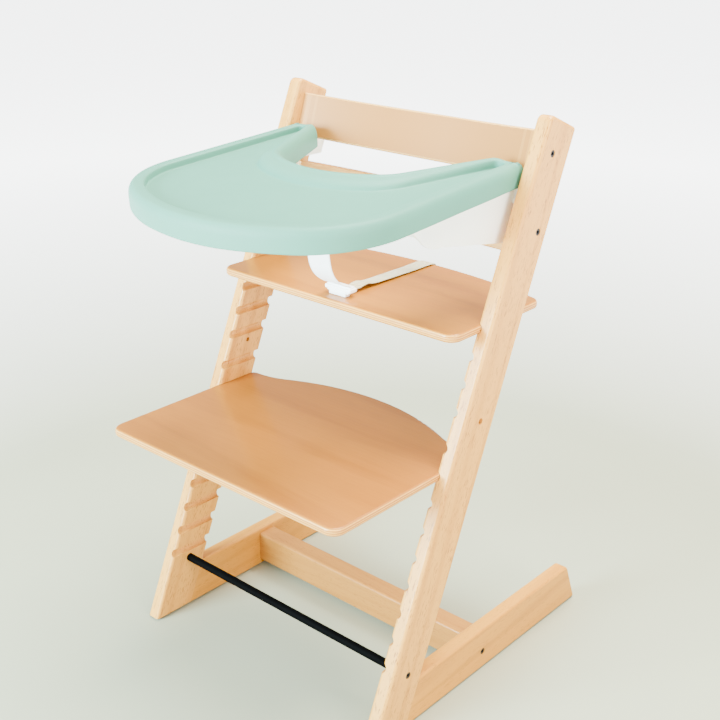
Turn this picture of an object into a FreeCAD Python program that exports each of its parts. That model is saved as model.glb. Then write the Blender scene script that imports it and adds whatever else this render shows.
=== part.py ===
"""Adjustable beech high chair with a baby tray and its silicone tray cover.

Millimetres. +X is the chair's width, -Y is its front, +Z is up. The origin is
at the middle of the footprint of the whole chair, on the floor. Depths in the
sheet are measured back from the foot line, where the front edges of the two
leaning stiles meet the floor.
"""
import FreeCAD, Part
import math
import os
import Sketcher
from FreeCAD import Placement, Rotation, Vector

os.makedirs("parts", exist_ok=True)
doc = FreeCAD.newDocument("high_chair")

DRIVING = [
    # frame of the chair
    ("chair_width", 460.0, "over the outer faces of the stiles"),
    ("foot_line", -202.6, "Y of the stiles' front edges at floor level"),
    ("stile_thick", 22.0, "board thickness of stiles and floor legs"),
    ("stile_run", 67.0, "depth of a stile, measured level"),
    ("stile_top", 785.0, "height of the front top corner of a stile"),
    ("lean", 0.424, "how far the stile goes back for each unit of height"),
    ("top_round", 10.0, "radius at the front top corner"),
    ("front_round", 5.0, "radius along the front and top edges"),
    ("rear_round", 2.5, "radius along the rear edges"),
    ("glider_high", 3.0, "gap under the wood, filled by the gliders"),
    # plate grooves
    ("groove_first", 100.5, "height of the lowest groove"),
    ("groove_pitch", 34.5, "height from groove to groove"),
    ("groove_gap", 44.2, "wider pitch between the two groups"),
    ("groove_high", 12.8, "opening of a groove"),
    ("groove_deep", 7.0, "depth of a groove in the inner face"),
    # floor legs and cross bar
    ("leg_rear", 490.0, "rear end of a floor leg"),
    ("leg_top", 66.5, "height of a floor leg"),
    ("leg_slant", 27.0, "how much shorter the leg is at its top"),
    ("leg_round", 10.0, "radius at the rear top corner"),
    ("bar_front", 219.5, "front face of the cross bar"),
    ("bar_thick", 33.0, "front to rear"),
    ("bar_low", 9.5, "underside of the cross bar"),
    ("bar_high", 50.0, "depth of its section"),
    ("leg_edge_round", 4.0, "radius along the leg's and the bar's edges"),
    ("dowel_dia", 8.0, "dowel between stile and leg"),
    ("dowel_long", 50.0, "half in the stile, half in the leg"),
    ("dowel_low_up", 19.0, "height of the lower dowel"),
    ("dowel_top_up", 47.0, "height of the upper dowel"),
    ("glider_long", 45.0, "floor glider"),
    ("glider_wide", 16.0, "floor glider"),
    ("glider_inset", 4.0, "from the end of the wood"),
    ("pin_dia", 4.0, "glider pin"),
    ("pin_long", 10.0, "glider pin in the wood"),
    ("end_gap", 0.2, "between the stiles and what stands between them"),
    # bolts
    ("bolt_hole_dia", 6.2, "hole for an M6 bolt"),
    ("bolt_dia", 6.0, "M6"),
    ("head_dia", 9.6, "socket head"),
    ("head_high", 5.0, "socket head"),
    ("sink_dia", 10.0, "counterbore"),
    ("sink_deep", 5.6, "counterbore"),
    ("socket_dia", 5.0, "hexagon socket, across corners"),
    ("socket_deep", 3.0, "hexagon socket"),
    ("bolt_long", 36.0, "under the head"),
    ("nut_dia", 10.0, "cross dowel nut"),
    ("nut_inset", 16.0, "from the stile's inner face"),
    ("board_nut_long", 10.5, "cross dowel nut in a backrest"),
    ("board_nut_ahead", 3.3, "how much of it is ahead of the bolt's axis"),
    ("bar_nut_long", 30.0, "cross dowel nut in the cross bar"),
    ("spare_hole_dia", 6.6, "empty hole for an accessory"),
    ("spare_sink_dia", 9.0, "mouth of the empty hole"),
    ("upper_bolt_up", 734.0, "height of the upper backrest bolts"),
    ("upper_bolt_in", 28.0, "how far back of the stile's front edge"),
    ("lower_bolt_up", 636.0, "height of the lower backrest bolts"),
    ("lower_bolt_in", 47.0, "how far back of the stile's front edge"),
    ("rod_up", 83.0, "height of the foot rod"),
    ("rod_in", 36.0, "how far back of the stile's front edge"),
    ("spare_up", 405.0, "height of the empty hole"),
    ("spare_in", 37.0, "how far back of the stile's front edge"),
    ("bar_bolt_up", 29.0, "height of the cross bar bolts"),
    ("bar_bolt_back", 241.0, "from the foot line"),
    ("rod_dia", 12.0, "steel foot rod"),
    # backrests
    ("board_thick", 14.0, "bent plywood board"),
    ("board_high", 63.0, "along its own face"),
    ("board_bend", 12.0, "how far the ends come forward"),
    ("board_flat", 60.0, "half length of the straight middle"),
    ("board_round", 3.0, "radius along a board's edges"),
    ("upper_below", 36.0, "board below the upper bolts"),
    ("lower_below", 34.0, "board below the lower bolts"),
    ("upper_tilt", 18.0, "degrees back from upright"),
    ("lower_tilt", 9.0, "degrees back from upright"),
    # plates
    ("plate_thick", 12.0, "laminated plate"),
    ("plate_half", 213.5, "half width, 1.5 short of each groove's floor"),
    ("plate_nose", 4.5, "radius along the plate's edges"),
    ("seat_front", 166.0, "front edge of the seat"),
    ("seat_side", 347.0, "where the seat's side ends"),
    ("seat_back", 387.0, "middle of the seat's rear edge"),
    ("seat_corner", 15.0, "rear corners of the seat"),
    ("foot_front", -52.0, "front edge of the foot plate"),
    ("foot_side", 210.0, "where the foot plate's side ends"),
    ("foot_corner", 13.0, "rear corners of the foot plate"),
    ("foot_waist", 150.0, "half width where the rear edge turns from hollow to round"),
    ("foot_waist_back", 235.0, "depth of those points"),
    ("foot_back", 271.0, "middle of the foot plate's rear edge"),
    ("corner_round", 18.0, "front corners of both plates"),
    # tray, in its own frame: X across, Y back along the tray, Z square to it
    ("tray_back", 100.0, "origin of the tray, from the foot line"),
    ("tray_floor", 698.0, "height of the tray floor at that origin"),
    ("tray_slope", 3.72, "degrees that the tray falls to the front"),
    ("tray_front", 184.0, "front of the tray"),
    ("tray_half", 207.0, "half width of the tray"),
    ("nose_radius", 276.0, "front edge"),
    ("cheek_radius", 130.0, "front corners"),
    ("cheek_start", -32.0, "where the sides run into the front corners"),
    ("horn_half", 201.5, "half width at the ends of the horns"),
    ("horn_end", 219.0, "ends of the horns"),
    ("horn_corner", 10.0, "outer corner of a horn"),
    ("horn_tip", 18.0, "inner corner of a horn"),
    ("bay_front", 48.0, "front of the waist bay"),
    ("bay_radius", 160.0, "middle of the waist bay"),
    ("bay_spread", 32.0, "degrees of that arc each side"),
    ("bay_corner", 46.0, "corners of the waist bay"),
    ("bay_angle", 66.0, "degrees of the horns' inner sides"),
    ("rim_wide", 22.0, "rim along the outside"),
    ("well_horn_half", 183.5, "half width of the well in the horns"),
    ("well_horn_end", 205.0, "ends of the well in the horns"),
    ("well_horn_corner", 6.0, "outer corner there"),
    ("well_horn_tip", 7.0, "inner corner there"),
    ("well_bay_front", 9.0, "rim's foot in front of the bay"),
    ("well_bay_radius", 185.0, "rim's foot round the bay"),
    ("well_bay_spread", 30.0, "degrees of that arc each side"),
    ("well_bay_corner", 75.0, "rim's foot at the bay's corners"),
    ("well_bay_angle", 72.0, "degrees of the rim's foot in the horns"),
    ("crest_in", 14.0, "crest of the rim round the bay, from the bay's edge"),
    ("crest_out", 1.0, "how much wider the well is at the rim's top"),
    ("rim_high", 10.0, "rim above the tray floor"),
    ("rim_round", 8.0, "radius over the rim"),
    ("skirt_low", 20.0, "skirt below the tray floor"),
    ("shell_low", 17.0, "skirt of the moulded tray under the cover"),
    ("cover_thick", 2.2, "silicone"),
    ("shell_thick", 3.0, "moulded tray under the cover"),
    ("cover_gap", 0.3, "between the cover and the tray"),
    ("slot_low", 190.9, "slot for a side panel in a horn's end"),
    ("slot_wide", 5.2, "slot for a side panel in a horn's end"),
    ("slot_clear", 1.7, "how far the slot goes above the panel"),
    # guard rail
    ("panel_outer", 195.5, "outer face of a side panel"),
    ("panel_thick", 4.0, "side panel"),
    ("panel_top", 2.8, "top edge of a side panel, above the tray floor"),
    ("panel_rear", 308.0, "where its top edge ends, ahead of the upper backrest"),
    ("arm_low", 671.0, "arm between the backrests to the hook"),
    ("arm_top", 690.0, "arm between the backrests to the hook"),
    ("hook_thick", 6.0, "hook behind a stile"),
    ("hook_gap", 0.3, "between the stile and the hook"),
    ("hook_reach", 14.0, "how far the hook goes behind the stile"),
    ("heel_inset", 20.0, "of the heel between panel and stile, from the stile's edges"),
    ("rail_back", 132.0, "middle of the front rail"),
    ("rail_up", 668.0, "middle of the front rail"),
    ("rail_deep", 20.0, "front rail section"),
    ("rail_high", 16.0, "front rail section"),
    ("rail_round", 4.0, "rounding of its long edges"),
    ("rail_pin_dia", 4.0, "pins between the rail and the side panels"),
    ("rail_pin_long", 20.0, "pins between the rail and the side panels"),
    ("pin_in_panel", 2.6, "how far they go into a panel, from its inner face"),
    ("pin_offset", 5.0, "ahead of and behind the rail's middle"),
    # straps
    ("strap_wide", 42.0, "crotch strap"),
    ("strap_thick", 1.8, "crotch strap"),
    ("web_wide", 25.0, "seat webbing"),
    ("web_thick", 1.6, "seat webbing"),
    ("strap_ring_gap", 0.3, "between the rail and the strap's loop"),
    ("clip_wide", 47.0, "upper part of the strap clip"),
    ("clip_foot_wide", 31.0, "its narrower foot on the seat"),
    ("clip_foot_high", 6.0, "its narrower foot on the seat"),
    ("clip_deep", 16.0, "strap clip"),
    ("clip_high", 15.0, "strap clip"),
    ("clip_back", 184.0, "front face of the clip"),
    ("clip_slot_deep", 6.0, "the slot in its rear that takes the webbing"),
    ("clip_slot_high", 2.8, "the slot in its rear that takes the webbing"),
    ("web_under", 330.0, "where the webbing ends under the seat"),
]

sheet = doc.addObject("Spreadsheet::Sheet", "Sizes")
for row, (alias, number, meaning) in enumerate(DRIVING, start=1):
    sheet.set("A%d" % row, meaning)
    sheet.set("B%d" % row, str(number))
    sheet.setAlias("B%d" % row, alias)
doc.recompute()


class Size:
    """A length that knows its number and the sheet formula behind it."""

    def __init__(self, number, formula):
        self.number = number
        self.formula = formula

    def __add__(self, other):
        other = size(other)
        return Size(self.number + other.number, "(%s + %s)" % (self.formula, other.formula))

    def __sub__(self, other):
        other = size(other)
        return Size(self.number - other.number, "(%s - %s)" % (self.formula, other.formula))

    def __mul__(self, other):
        other = size(other)
        return Size(self.number * other.number, "(%s * %s)" % (self.formula, other.formula))

    def __truediv__(self, other):
        other = size(other)
        return Size(self.number / other.number, "(%s / %s)" % (self.formula, other.formula))

    def __neg__(self):
        return self * -1


def size(value):
    """A plain number as a Size."""
    if isinstance(value, Size):
        return value
    return Size(float(value), "(%.6g)" % value)


def cell(alias):
    """The Size of one cell of the sheet."""
    return Size(float(sheet.get(alias)), "Sizes.%s" % alias)


def back(distance):
    """Y of a depth measured back from the foot line."""
    return cell("foot_line") + distance


def front_edge(height):
    """Y of the stiles' front edge at a height."""
    return cell("foot_line") + cell("lean") * height


HALF = cell("chair_width") / 2
INNER = HALF - cell("stile_thick")
SIDES = (("left", -1), ("right", 1))
nodes = {}


# --- helpers ---------------------------------------------------------------

def bind(thing, **sizes):
    """Bind properties of an object to the sheet."""
    for name, value in sizes.items():
        thing.setExpression(name, size(value).formula)


def place(thing, x=0, y=0, z=0, axis=None, angle=0):
    """Put an object somewhere, with its place bound to the sheet."""
    if axis is not None:
        thing.Placement = Placement(Vector(), Rotation(Vector(*axis), angle))
    for name, value in (("x", x), ("y", y), ("z", z)):
        thing.setExpression("Placement.Base.%s" % name, size(value).formula)


def keep(name, thing):
    """Name an object as a node that is written out."""
    thing.Label = name
    nodes[name] = thing
    return thing


def new_body(name):
    return doc.addObject("PartDesign::Body", name + "_body")


def new_sketch(body, role, offset=0):
    """A sketch on one of the body's own origin planes, moved along its normal."""
    sketch = body.newObject("Sketcher::SketchObject", body.Name + "_" + role[:2].lower())
    plane = [item for item in body.Origin.OriginFeatures if item.Role == role][0]
    sketch.AttachmentSupport = [(plane, "")]
    sketch.MapMode = "FlatFace"
    sketch.setExpression("AttachmentOffset.Base.z", size(offset).formula)
    return sketch


def fix_point(sketch, geometry, point, u, v):
    """Tie one sketch point to its two coordinates in the sheet."""
    for kind, axis, value in (("DistanceX", -2, u), ("DistanceY", -1, v)):
        value = size(value)
        if abs(value.number) < 1e-9:
            sketch.addConstraint(Sketcher.Constraint("PointOnObject", geometry, point, axis))
        else:
            index = sketch.addConstraint(
                Sketcher.Constraint(kind, -1, 1, geometry, point, value.number))
            sketch.setExpression("Constraints[%d]" % index, value.formula)


def arc_middle(start, end, radius, bulge):
    """The middle point of the shorter arc between two points."""
    chord = end - start
    sag = radius - math.sqrt(radius * radius - chord.Length * chord.Length / 4)
    right = Vector(chord.y, -chord.x, 0).normalize()
    return (start + end) / 2 + right * sag * bulge


def outline(sketch, corners, arcs=None):
    """A closed outline whose corners and radii are bound to the sheet.

    arcs maps the number of a side to its radius, and to 1 or -1 for a side that
    swells to the right or to the left of the way round.
    """
    arcs = arcs or {}
    corners = [(size(u), size(v)) for u, v in corners]
    points = [Vector(u.number, v.number, 0) for u, v in corners]
    first = sketch.GeometryCount
    starts = []
    ends = []
    for index, start in enumerate(points):
        end = points[(index + 1) % len(points)]
        if index in arcs:
            radius, bulge = arcs[index]
            middle = arc_middle(start, end, size(radius).number, bulge)
            sketch.addGeometry(Part.Arc(start, middle, end), False)
        else:
            bulge = 1
            sketch.addGeometry(Part.LineSegment(start, end), False)
        starts.append(1 if bulge > 0 else 2)
        ends.append(2 if bulge > 0 else 1)
    for index in range(len(points)):
        following = (index + 1) % len(points)
        sketch.addConstraint(Sketcher.Constraint(
            "Coincident", first + index, ends[index], first + following, starts[following]))
    for index, (u, v) in enumerate(corners):
        fix_point(sketch, first + index, starts[index], u, v)
    for index, (radius, bulge) in arcs.items():
        number = sketch.addConstraint(
            Sketcher.Constraint("Radius", first + index, size(radius).number))
        sketch.setExpression("Constraints[%d]" % number, size(radius).formula)


def circle(sketch, u, v, diameter):
    u, v, diameter = size(u), size(v), size(diameter)
    geometry = sketch.addGeometry(Part.Circle(
        Vector(u.number, v.number, 0), Vector(0, 0, 1), diameter.number / 2), False)
    index = sketch.addConstraint(Sketcher.Constraint("Diameter", geometry, diameter.number))
    sketch.setExpression("Constraints[%d]" % index, diameter.formula)
    fix_point(sketch, geometry, 3, u, v)


def pad(body, sketch, length, midplane=False):
    feature = body.newObject("PartDesign::Pad", sketch.Name + "_pad")
    feature.Profile = sketch
    feature.Midplane = midplane
    bind(feature, Length=length)
    sketch.Visibility = False
    doc.recompute()
    return feature


def pocket(body, sketch, length, midplane=False, reverse=False):
    """Cut a sketch into the body, and make sure that it did cut."""
    before = body.Shape.Volume
    feature = body.newObject("PartDesign::Pocket", sketch.Name + "_pocket")
    feature.Profile = sketch
    feature.Midplane = midplane
    feature.Reversed = reverse
    bind(feature, Length=length)
    doc.recompute()
    if not body.Shape.Volume < before - 1:
        raise RuntimeError("nothing was cut by " + feature.Name)
    return feature


def edges_where(shape, wanted):
    """Names of the edges whose ends both pass a test."""
    return ["Edge%d" % (index + 1) for index, edge in enumerate(shape.Edges)
            if all(wanted(vertex.Point) for vertex in edge.Vertexes)]


def edges_like(shape, wanted):
    """Names of the edges that pass a test."""
    return ["Edge%d" % (index + 1) for index, edge in enumerate(shape.Edges) if wanted(edge)]


def body_fillet(body, names, radius):
    base = body.Tip
    feature = body.newObject("PartDesign::Fillet", body.Name + "_round")
    feature.Base = (base, names)
    bind(feature, Radius=radius)
    doc.recompute()
    return feature


def cylinder(name, radius, height, x, y, z, axis=None, angle=0):
    thing = doc.addObject("Part::Cylinder", name)
    bind(thing, Radius=radius, Height=height)
    place(thing, x, y, z, axis, angle)
    return thing


def box(name, length, width, height, x, y, z):
    thing = doc.addObject("Part::Box", name)
    bind(thing, Length=length, Width=width, Height=height)
    place(thing, x, y, z)
    return thing


def fuse(name, things):
    thing = doc.addObject("Part::MultiFuse", name)
    thing.Shapes = things
    return thing


def group(name, things):
    """Several separate solids in one node."""
    thing = doc.addObject("Part::Compound", name + "_set")
    thing.Links = things
    return keep(name, thing)


def cut(name, base, tools):
    """One solid with several others taken away."""
    thing = doc.addObject("Part::Cut", name)
    thing.Base = base
    thing.Tool = tools[0] if len(tools) == 1 else fuse(name + "_tools", tools)
    return thing


def along_y(name, radius, length, x, y_start, z):
    """A cylinder that runs back from y_start."""
    return cylinder(name, radius, length, x, y_start, z, axis=(1, 0, 0), angle=-90)


def along_x(name, radius, length, x_start, y, z, side):
    """A cylinder from x_start outward or inward along X."""
    return cylinder(name, radius, length, x_start, y, z, axis=(0, 1, 0), angle=90 * side)


# --- stiles ----------------------------------------------------------------

def groove_heights():
    heights = []
    for index in range(13):
        rise = cell("groove_pitch") * index
        if index > 8:
            rise = rise + cell("groove_gap") - cell("groove_pitch")
        heights.append(cell("groove_first") + rise)
    return heights


GROOVES = groove_heights()
FOOT_UP = GROOVES[7]
SEAT_UP = GROOVES[12]
STILE_BOLTS = [
    (front_edge(cell("upper_bolt_up")) + cell("upper_bolt_in"), cell("upper_bolt_up")),
    (front_edge(cell("lower_bolt_up")) + cell("lower_bolt_in"), cell("lower_bolt_up")),
    (front_edge(cell("rod_up")) + cell("rod_in"), cell("rod_up")),
]
SPARE_HOLE = (front_edge(cell("spare_up")) + cell("spare_in"), cell("spare_up"))


def add_stile(name, side):
    """A leaning board with the plate grooves in its inner face."""
    body = new_body(name)
    start = INNER if side > 0 else -HALF
    low = cell("glider_high")
    square = cell("stile_run") / (cell("lean") * cell("lean") + 1)
    top = cell("stile_top")
    profile = new_sketch(body, "YZ_Plane", start)
    outline(profile, [
        (front_edge(low), low),
        (front_edge(low) + cell("stile_run"), low),
        (front_edge(top) + square, top - cell("lean") * square),
        (front_edge(top), top),
    ])
    pad(body, profile, cell("stile_thick"))
    peak = top.number - 1
    body_fillet(body, edges_where(body.Shape, lambda at: at.z > peak), cell("top_round"))

    def on_front_or_top(at):
        ahead = at.y - front_edge(size(at.z)).number
        return ahead < cell("top_round").number or at.z > peak - square.number

    def to_be_rounded(edge):
        across = abs(edge.tangentAt(edge.FirstParameter).x) > 0.5
        above = edge.CenterOfMass.z > low.number + 1
        return above and not across and all(on_front_or_top(at.Point) for at in edge.Vertexes)

    body_fillet(body, edges_like(body.Shape, to_be_rounded), cell("front_round"))
    cuts = new_sketch(body, "XZ_Plane", 0)
    for height in GROOVES:
        groove_channel(cuts, side, height)
    pocket(body, cuts, 1500, midplane=True)
    holes = new_sketch(body, "YZ_Plane", start)
    for y, z in STILE_BOLTS:
        circle(holes, y, z, cell("bolt_hole_dia"))
    circle(holes, SPARE_HOLE[0], SPARE_HOLE[1], cell("spare_hole_dia"))
    pocket(body, holes, cell("stile_thick"), reverse=True)
    sinks = new_sketch(body, "YZ_Plane", HALF * side)
    for y, z in STILE_BOLTS:
        circle(sinks, y, z, cell("sink_dia"))
    circle(sinks, SPARE_HOLE[0], SPARE_HOLE[1], cell("spare_sink_dia"))
    pocket(body, sinks, cell("sink_deep"), reverse=(side < 0))
    return body


def groove_channel(sketch, side, height):
    """One groove as four curves of the sketch, bound by its corners."""
    half = cell("groove_high") / 2
    mouth = (INNER - 2) * side
    inset = (INNER + cell("groove_deep") - half) * side
    low, high = height - half, height + half
    first = sketch.GeometryCount
    corners = [(mouth, low), (inset, low), (inset, high), (mouth, high)]
    points = [Vector(u.number, v.number, 0) for u, v in corners]
    tip = Vector(inset.number + side * half.number, height.number, 0)
    sketch.addGeometry(Part.LineSegment(points[0], points[1]), False)
    sketch.addGeometry(Part.Arc(points[1], tip, points[2]), False)
    sketch.addGeometry(Part.LineSegment(points[2], points[3]), False)
    sketch.addGeometry(Part.LineSegment(points[3], points[0]), False)
    near, far = (1, 2) if side > 0 else (2, 1)
    sketch.addConstraint(Sketcher.Constraint("Tangent", first, 2, first + 1, near))
    for one, end, other, begin in ((1, far, 2, 1), (2, 2, 3, 1), (3, 2, 0, 1)):
        sketch.addConstraint(Sketcher.Constraint(
            "Coincident", first + one, end, first + other, begin))
    for curve, point, corner in ((0, 1, 0), (0, 2, 1), (2, 1, 2), (2, 2, 3)):
        fix_point(sketch, first + curve, point, *corners[corner])


# --- floor legs, dowels and gliders ------------------------------------------

def stile_rear(height):
    """Y of the stiles' rear edge at a height."""
    return front_edge(height) + cell("stile_run")


def leg_end(height):
    """Y of the floor legs' slanting rear end at a height."""
    return back(cell("leg_rear")) - cell("leg_slant") * height / cell("leg_top")


BAR_BOLT = (back(cell("bar_bolt_back")), cell("bar_bolt_up"))
BOARD_MIDDLE = INNER + cell("stile_thick") / 2


def add_leg(name, side):
    """A floor leg that butts against the rear edge of its stile."""
    body = new_body(name)
    start = INNER if side > 0 else -HALF
    low, top = cell("glider_high"), cell("leg_top")
    profile = new_sketch(body, "YZ_Plane", start)
    outline(profile, [
        (stile_rear(low), low),
        (leg_end(low), low),
        (leg_end(top), top),
        (stile_rear(top), top),
    ])
    pad(body, profile, cell("stile_thick"))
    peak = top.number - 0.5
    behind = stile_rear(top).number + 5
    body_fillet(body, edges_where(
        body.Shape, lambda at: at.y > behind and at.z > peak), cell("leg_round"))

    def on_side_face(edge):
        offset = abs(abs(edge.CenterOfMass.x) - BOARD_MIDDLE.number)
        return offset > 5 and edge.CenterOfMass.z > low.number + 1 and edge.CenterOfMass.y > behind

    body_fillet(body, edges_like(body.Shape, on_side_face), cell("leg_edge_round"))
    hole = new_sketch(body, "YZ_Plane", start)
    circle(hole, BAR_BOLT[0], BAR_BOLT[1], cell("bolt_hole_dia"))
    pocket(body, hole, cell("stile_thick"), reverse=True)
    sink = new_sketch(body, "YZ_Plane", HALF * side)
    circle(sink, BAR_BOLT[0], BAR_BOLT[1], cell("sink_dia"))
    pocket(body, sink, cell("sink_deep"), reverse=(side < 0))
    return body


def dowels(name, side):
    """Two level dowels across the joint of stile and floor leg."""
    long = cell("dowel_long")
    return [along_y("%s_%s" % (name, place_name), cell("dowel_dia") / 2, long,
                    BOARD_MIDDLE * side, stile_rear(height) - long / 2, height)
            for place_name, height in (("low", cell("dowel_low_up")), ("high", cell("dowel_top_up")))]


FRONT_GLIDER = front_edge(cell("glider_high")) + cell("glider_inset")
REAR_GLIDER = back(cell("leg_rear")) - cell("glider_inset") - cell("glider_long")


def glider_pins(name, side, start):
    """The two pins of a glider, which stand in the wood above it."""
    quarter = cell("glider_long") / 4
    return [cylinder("%s_pin_%d" % (name, index), cell("pin_dia") / 2, cell("pin_long"),
                     BOARD_MIDDLE * side, start + quarter * index, cell("glider_high"))
            for index in (1, 3)]


def add_gliders(name, start):
    """A flat glider with two pins under each side of the chair."""
    solids = []
    for label, side in SIDES:
        tag = "%s_%s" % (name, label)
        sole = box(tag + "_sole", cell("glider_wide"), cell("glider_long"), cell("glider_high"),
                   BOARD_MIDDLE * side - cell("glider_wide") / 2, start, 0)
        solids.append(fuse(tag, [sole] + glider_pins(tag, side, start)))
    return group(name, solids)


for name, side in SIDES:
    stile_tools = dowels(name + "_stile_hole", side)
    stile_tools += glider_pins(name + "_stile_hole", side, FRONT_GLIDER)
    keep(name + "_stile", cut(name + "_stile_bored", add_stile(name + "_stile", side), stile_tools))
    leg_tools = dowels(name + "_leg_hole", side)
    leg_tools += glider_pins(name + "_leg_hole", side, REAR_GLIDER)
    keep(name + "_floor_leg", cut(name + "_leg_bored", add_leg(name + "_leg", side), leg_tools))

group("leg_dowels", [dowel for name, side in SIDES for dowel in dowels(name + "_dowel", side)])
add_gliders("front_gliders", FRONT_GLIDER)
add_gliders("rear_gliders", REAR_GLIDER)


# --- bolts, nuts, cross bar and foot rod ---------------------------------------

SEAT_OF_HEAD = HALF - cell("sink_deep")
BETWEEN = INNER - cell("end_gap")


def bolt(name, side, y, z):
    """A socket head bolt that enters from the outside of the chair."""
    seat = SEAT_OF_HEAD * side
    shank = along_x(name + "_shank", cell("bolt_dia") / 2, cell("bolt_long"), seat, y, z, -side)
    head = along_x(name + "_head", cell("head_dia") / 2, cell("head_high"), seat, y, z, side)
    key = doc.addObject("Part::Prism", name + "_key")
    key.Polygon = 6
    bind(key, Circumradius=cell("socket_dia") / 2, Height=cell("socket_deep") + 1)
    place(key, seat + (cell("head_high") - cell("socket_deep")) * side, y, z,
          axis=(0, 1, 0), angle=90 * side)
    return cut(name, fuse(name + "_blank", [shank, head]), [key])


def bolt_set(name, places):
    """The same bolt on both sides of the chair."""
    return group(name, [bolt("%s_%s_%d" % (name, label, index), side, y, z)
                        for label, side in SIDES
                        for index, (y, z) in enumerate(places)])


def bolt_room(name, y, z, diameter, sides=SIDES):
    """The holes for a pair of bolts between the stiles, as tools."""
    reach = cell("bolt_long") + cell("sink_deep") - cell("stile_thick") + 3
    return [along_x("%s_%s" % (name, label), diameter / 2, reach, INNER * side, y, z, -side)
            for label, side in sides]


def nut_blanks(name, y, low, length, axis=None, angle=0):
    """Plain cross dowels on both sides, square to the bolts."""
    return [cylinder("%s_%s" % (name, label), cell("nut_dia") / 2, length,
                     (INNER - cell("nut_inset")) * side, y, low, axis, angle)
            for label, side in SIDES]


bolt_set("backrest_bolts", STILE_BOLTS[:2])
bolt_set("rod_bolts", STILE_BOLTS[2:])
bolt_set("cross_bar_bolts", [BAR_BOLT])

bar = box("bar_blank", BETWEEN * 2, cell("bar_thick"), cell("bar_high"),
          -BETWEEN, back(cell("bar_front")), cell("bar_low"))
doc.recompute()
bar_round = doc.addObject("Part::Fillet", "bar_round")
bar_round.Base = bar
bar_round.Edges = [(index + 1, cell("leg_edge_round").number, cell("leg_edge_round").number)
                   for index, edge in enumerate(bar.Shape.Edges)
                   if edge.BoundBox.XLength > 100]
keep("cross_bar", cut("bar_bored", bar_round, (
    bolt_room("bar_hole", *BAR_BOLT, cell("bolt_hole_dia"))
    + nut_blanks("bar_nut_hole", BAR_BOLT[0], cell("bar_low"), cell("bar_nut_long")))))
group("cross_bar_nuts", [
    cut(blank.Name + "_tapped", blank, [tool])
    for blank, tool in zip(
        nut_blanks("bar_nut", BAR_BOLT[0], cell("bar_low"), cell("bar_nut_long")),
        bolt_room("bar_thread", *BAR_BOLT, cell("bolt_dia")))])

ROD_PLACE = STILE_BOLTS[2]
rod = along_x("rod_blank", cell("rod_dia") / 2, BETWEEN * 2, -BETWEEN, *ROD_PLACE, 1)
keep("foot_rod", cut("rod_tapped", rod, bolt_room("rod_thread", *ROD_PLACE, cell("bolt_dia"))))


# --- backrests ------------------------------------------------------------------

def extrude(name, profile, length, start=0):
    """A closed profile drawn on XY, raised from a height."""
    solid = doc.addObject("Part::Extrusion", name)
    solid.Base = profile
    solid.DirMode = "Custom"
    solid.Dir = Vector(0, 0, 1)
    solid.Solid = True
    bind(solid, LengthFwd=length)
    solid.setExpression("Placement.Base.z", size(start).formula)
    return solid


def free_sketch(name):
    return doc.addObject("Sketcher::SketchObject", name)


def bend_profile(name):
    """Plan of a bent board: a straight middle, and both ends forward."""
    thick, flat, rise = cell("board_thick"), cell("board_flat"), cell("board_bend")
    reach = BETWEEN - flat
    radius = (reach * reach + rise * rise) / (rise * 2)
    rear_rise = rise - (thick * rise / radius)
    rear_reach = reach + thick * reach / radius
    sketch = free_sketch(name)
    outline(sketch, [
        (-flat, 0), (flat, 0), (BETWEEN, -rise), (BETWEEN, thick - rear_rise),
        (flat, thick), (-flat, thick), (-BETWEEN, thick - rear_rise), (-BETWEEN, -rise),
    ], {
        1: (radius, -1), 3: (radius + thick, 1), 5: (radius + thick, 1), 7: (radius, -1),
    })
    return sketch


def add_backrest(name, tilt, y, z, below):
    """A bent plywood board, tilted back, with its bolts and nuts.

    Its ends' bolts run through the middle of the board's thickness at y and z;
    below is how far its lower edge is under them, along the board.
    """
    high = cell("board_high")
    blank = extrude(name + "_blank", bend_profile(name + "_plan"), high)
    doc.recompute()
    rounded = doc.addObject("Part::Fillet", name + "_round")
    rounded.Base = blank
    rounded.Edges = [(index + 1, cell("board_round").number, cell("board_round").number)
                     for index, edge in enumerate(blank.Shape.Edges)
                     if edge.BoundBox.ZLength < 1 and edge.BoundBox.XLength > 5]
    ahead = cell("board_bend") - cell("board_thick") / 2
    radians = math.radians(cell(tilt).number)
    turned = doc.addObject("Part::Compound", name + "_tilted")
    turned.Links = [rounded]
    place(turned, 0,
          y + ahead * math.cos(radians) - below * math.sin(radians),
          z - below * math.cos(radians) - ahead * math.sin(radians),
          axis=(1, 0, 0), angle=-cell(tilt).number)
    return turned, radians


def backrest_nuts(name, y, z, radians, extra=0):
    """Cross dowels square to the board, let in from its rear face."""
    ahead = cell("board_nut_ahead")
    return nut_blanks(name, y - ahead * math.cos(radians), z + ahead * math.sin(radians),
                      cell("board_nut_long") + extra, axis=(1, 0, 0),
                      angle=-90 - math.degrees(radians))


BACKRESTS = (
    ("upper_backrest", "upper_tilt", STILE_BOLTS[0], cell("upper_below")),
    ("lower_backrest", "lower_tilt", STILE_BOLTS[1], cell("lower_below")),
)
board_nuts = []
for name, tilt, (y, z), below in BACKRESTS:
    board, radians = add_backrest(name, tilt, y, z, below)
    tools = bolt_room(name + "_hole", y, z, cell("bolt_hole_dia"))
    tools += backrest_nuts(name + "_nut_hole", y, z, radians, extra=6)
    keep(name, cut(name + "_bored", board, tools))
    board_nuts += [
        cut(blank.Name + "_tapped", blank, [tool])
        for blank, tool in zip(backrest_nuts(name + "_nut", y, z, radians),
                               bolt_room(name + "_thread", y, z, cell("bolt_dia")))]
group("backrest_nuts", board_nuts)


# --- seat and foot plate ---------------------------------------------------------

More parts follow.
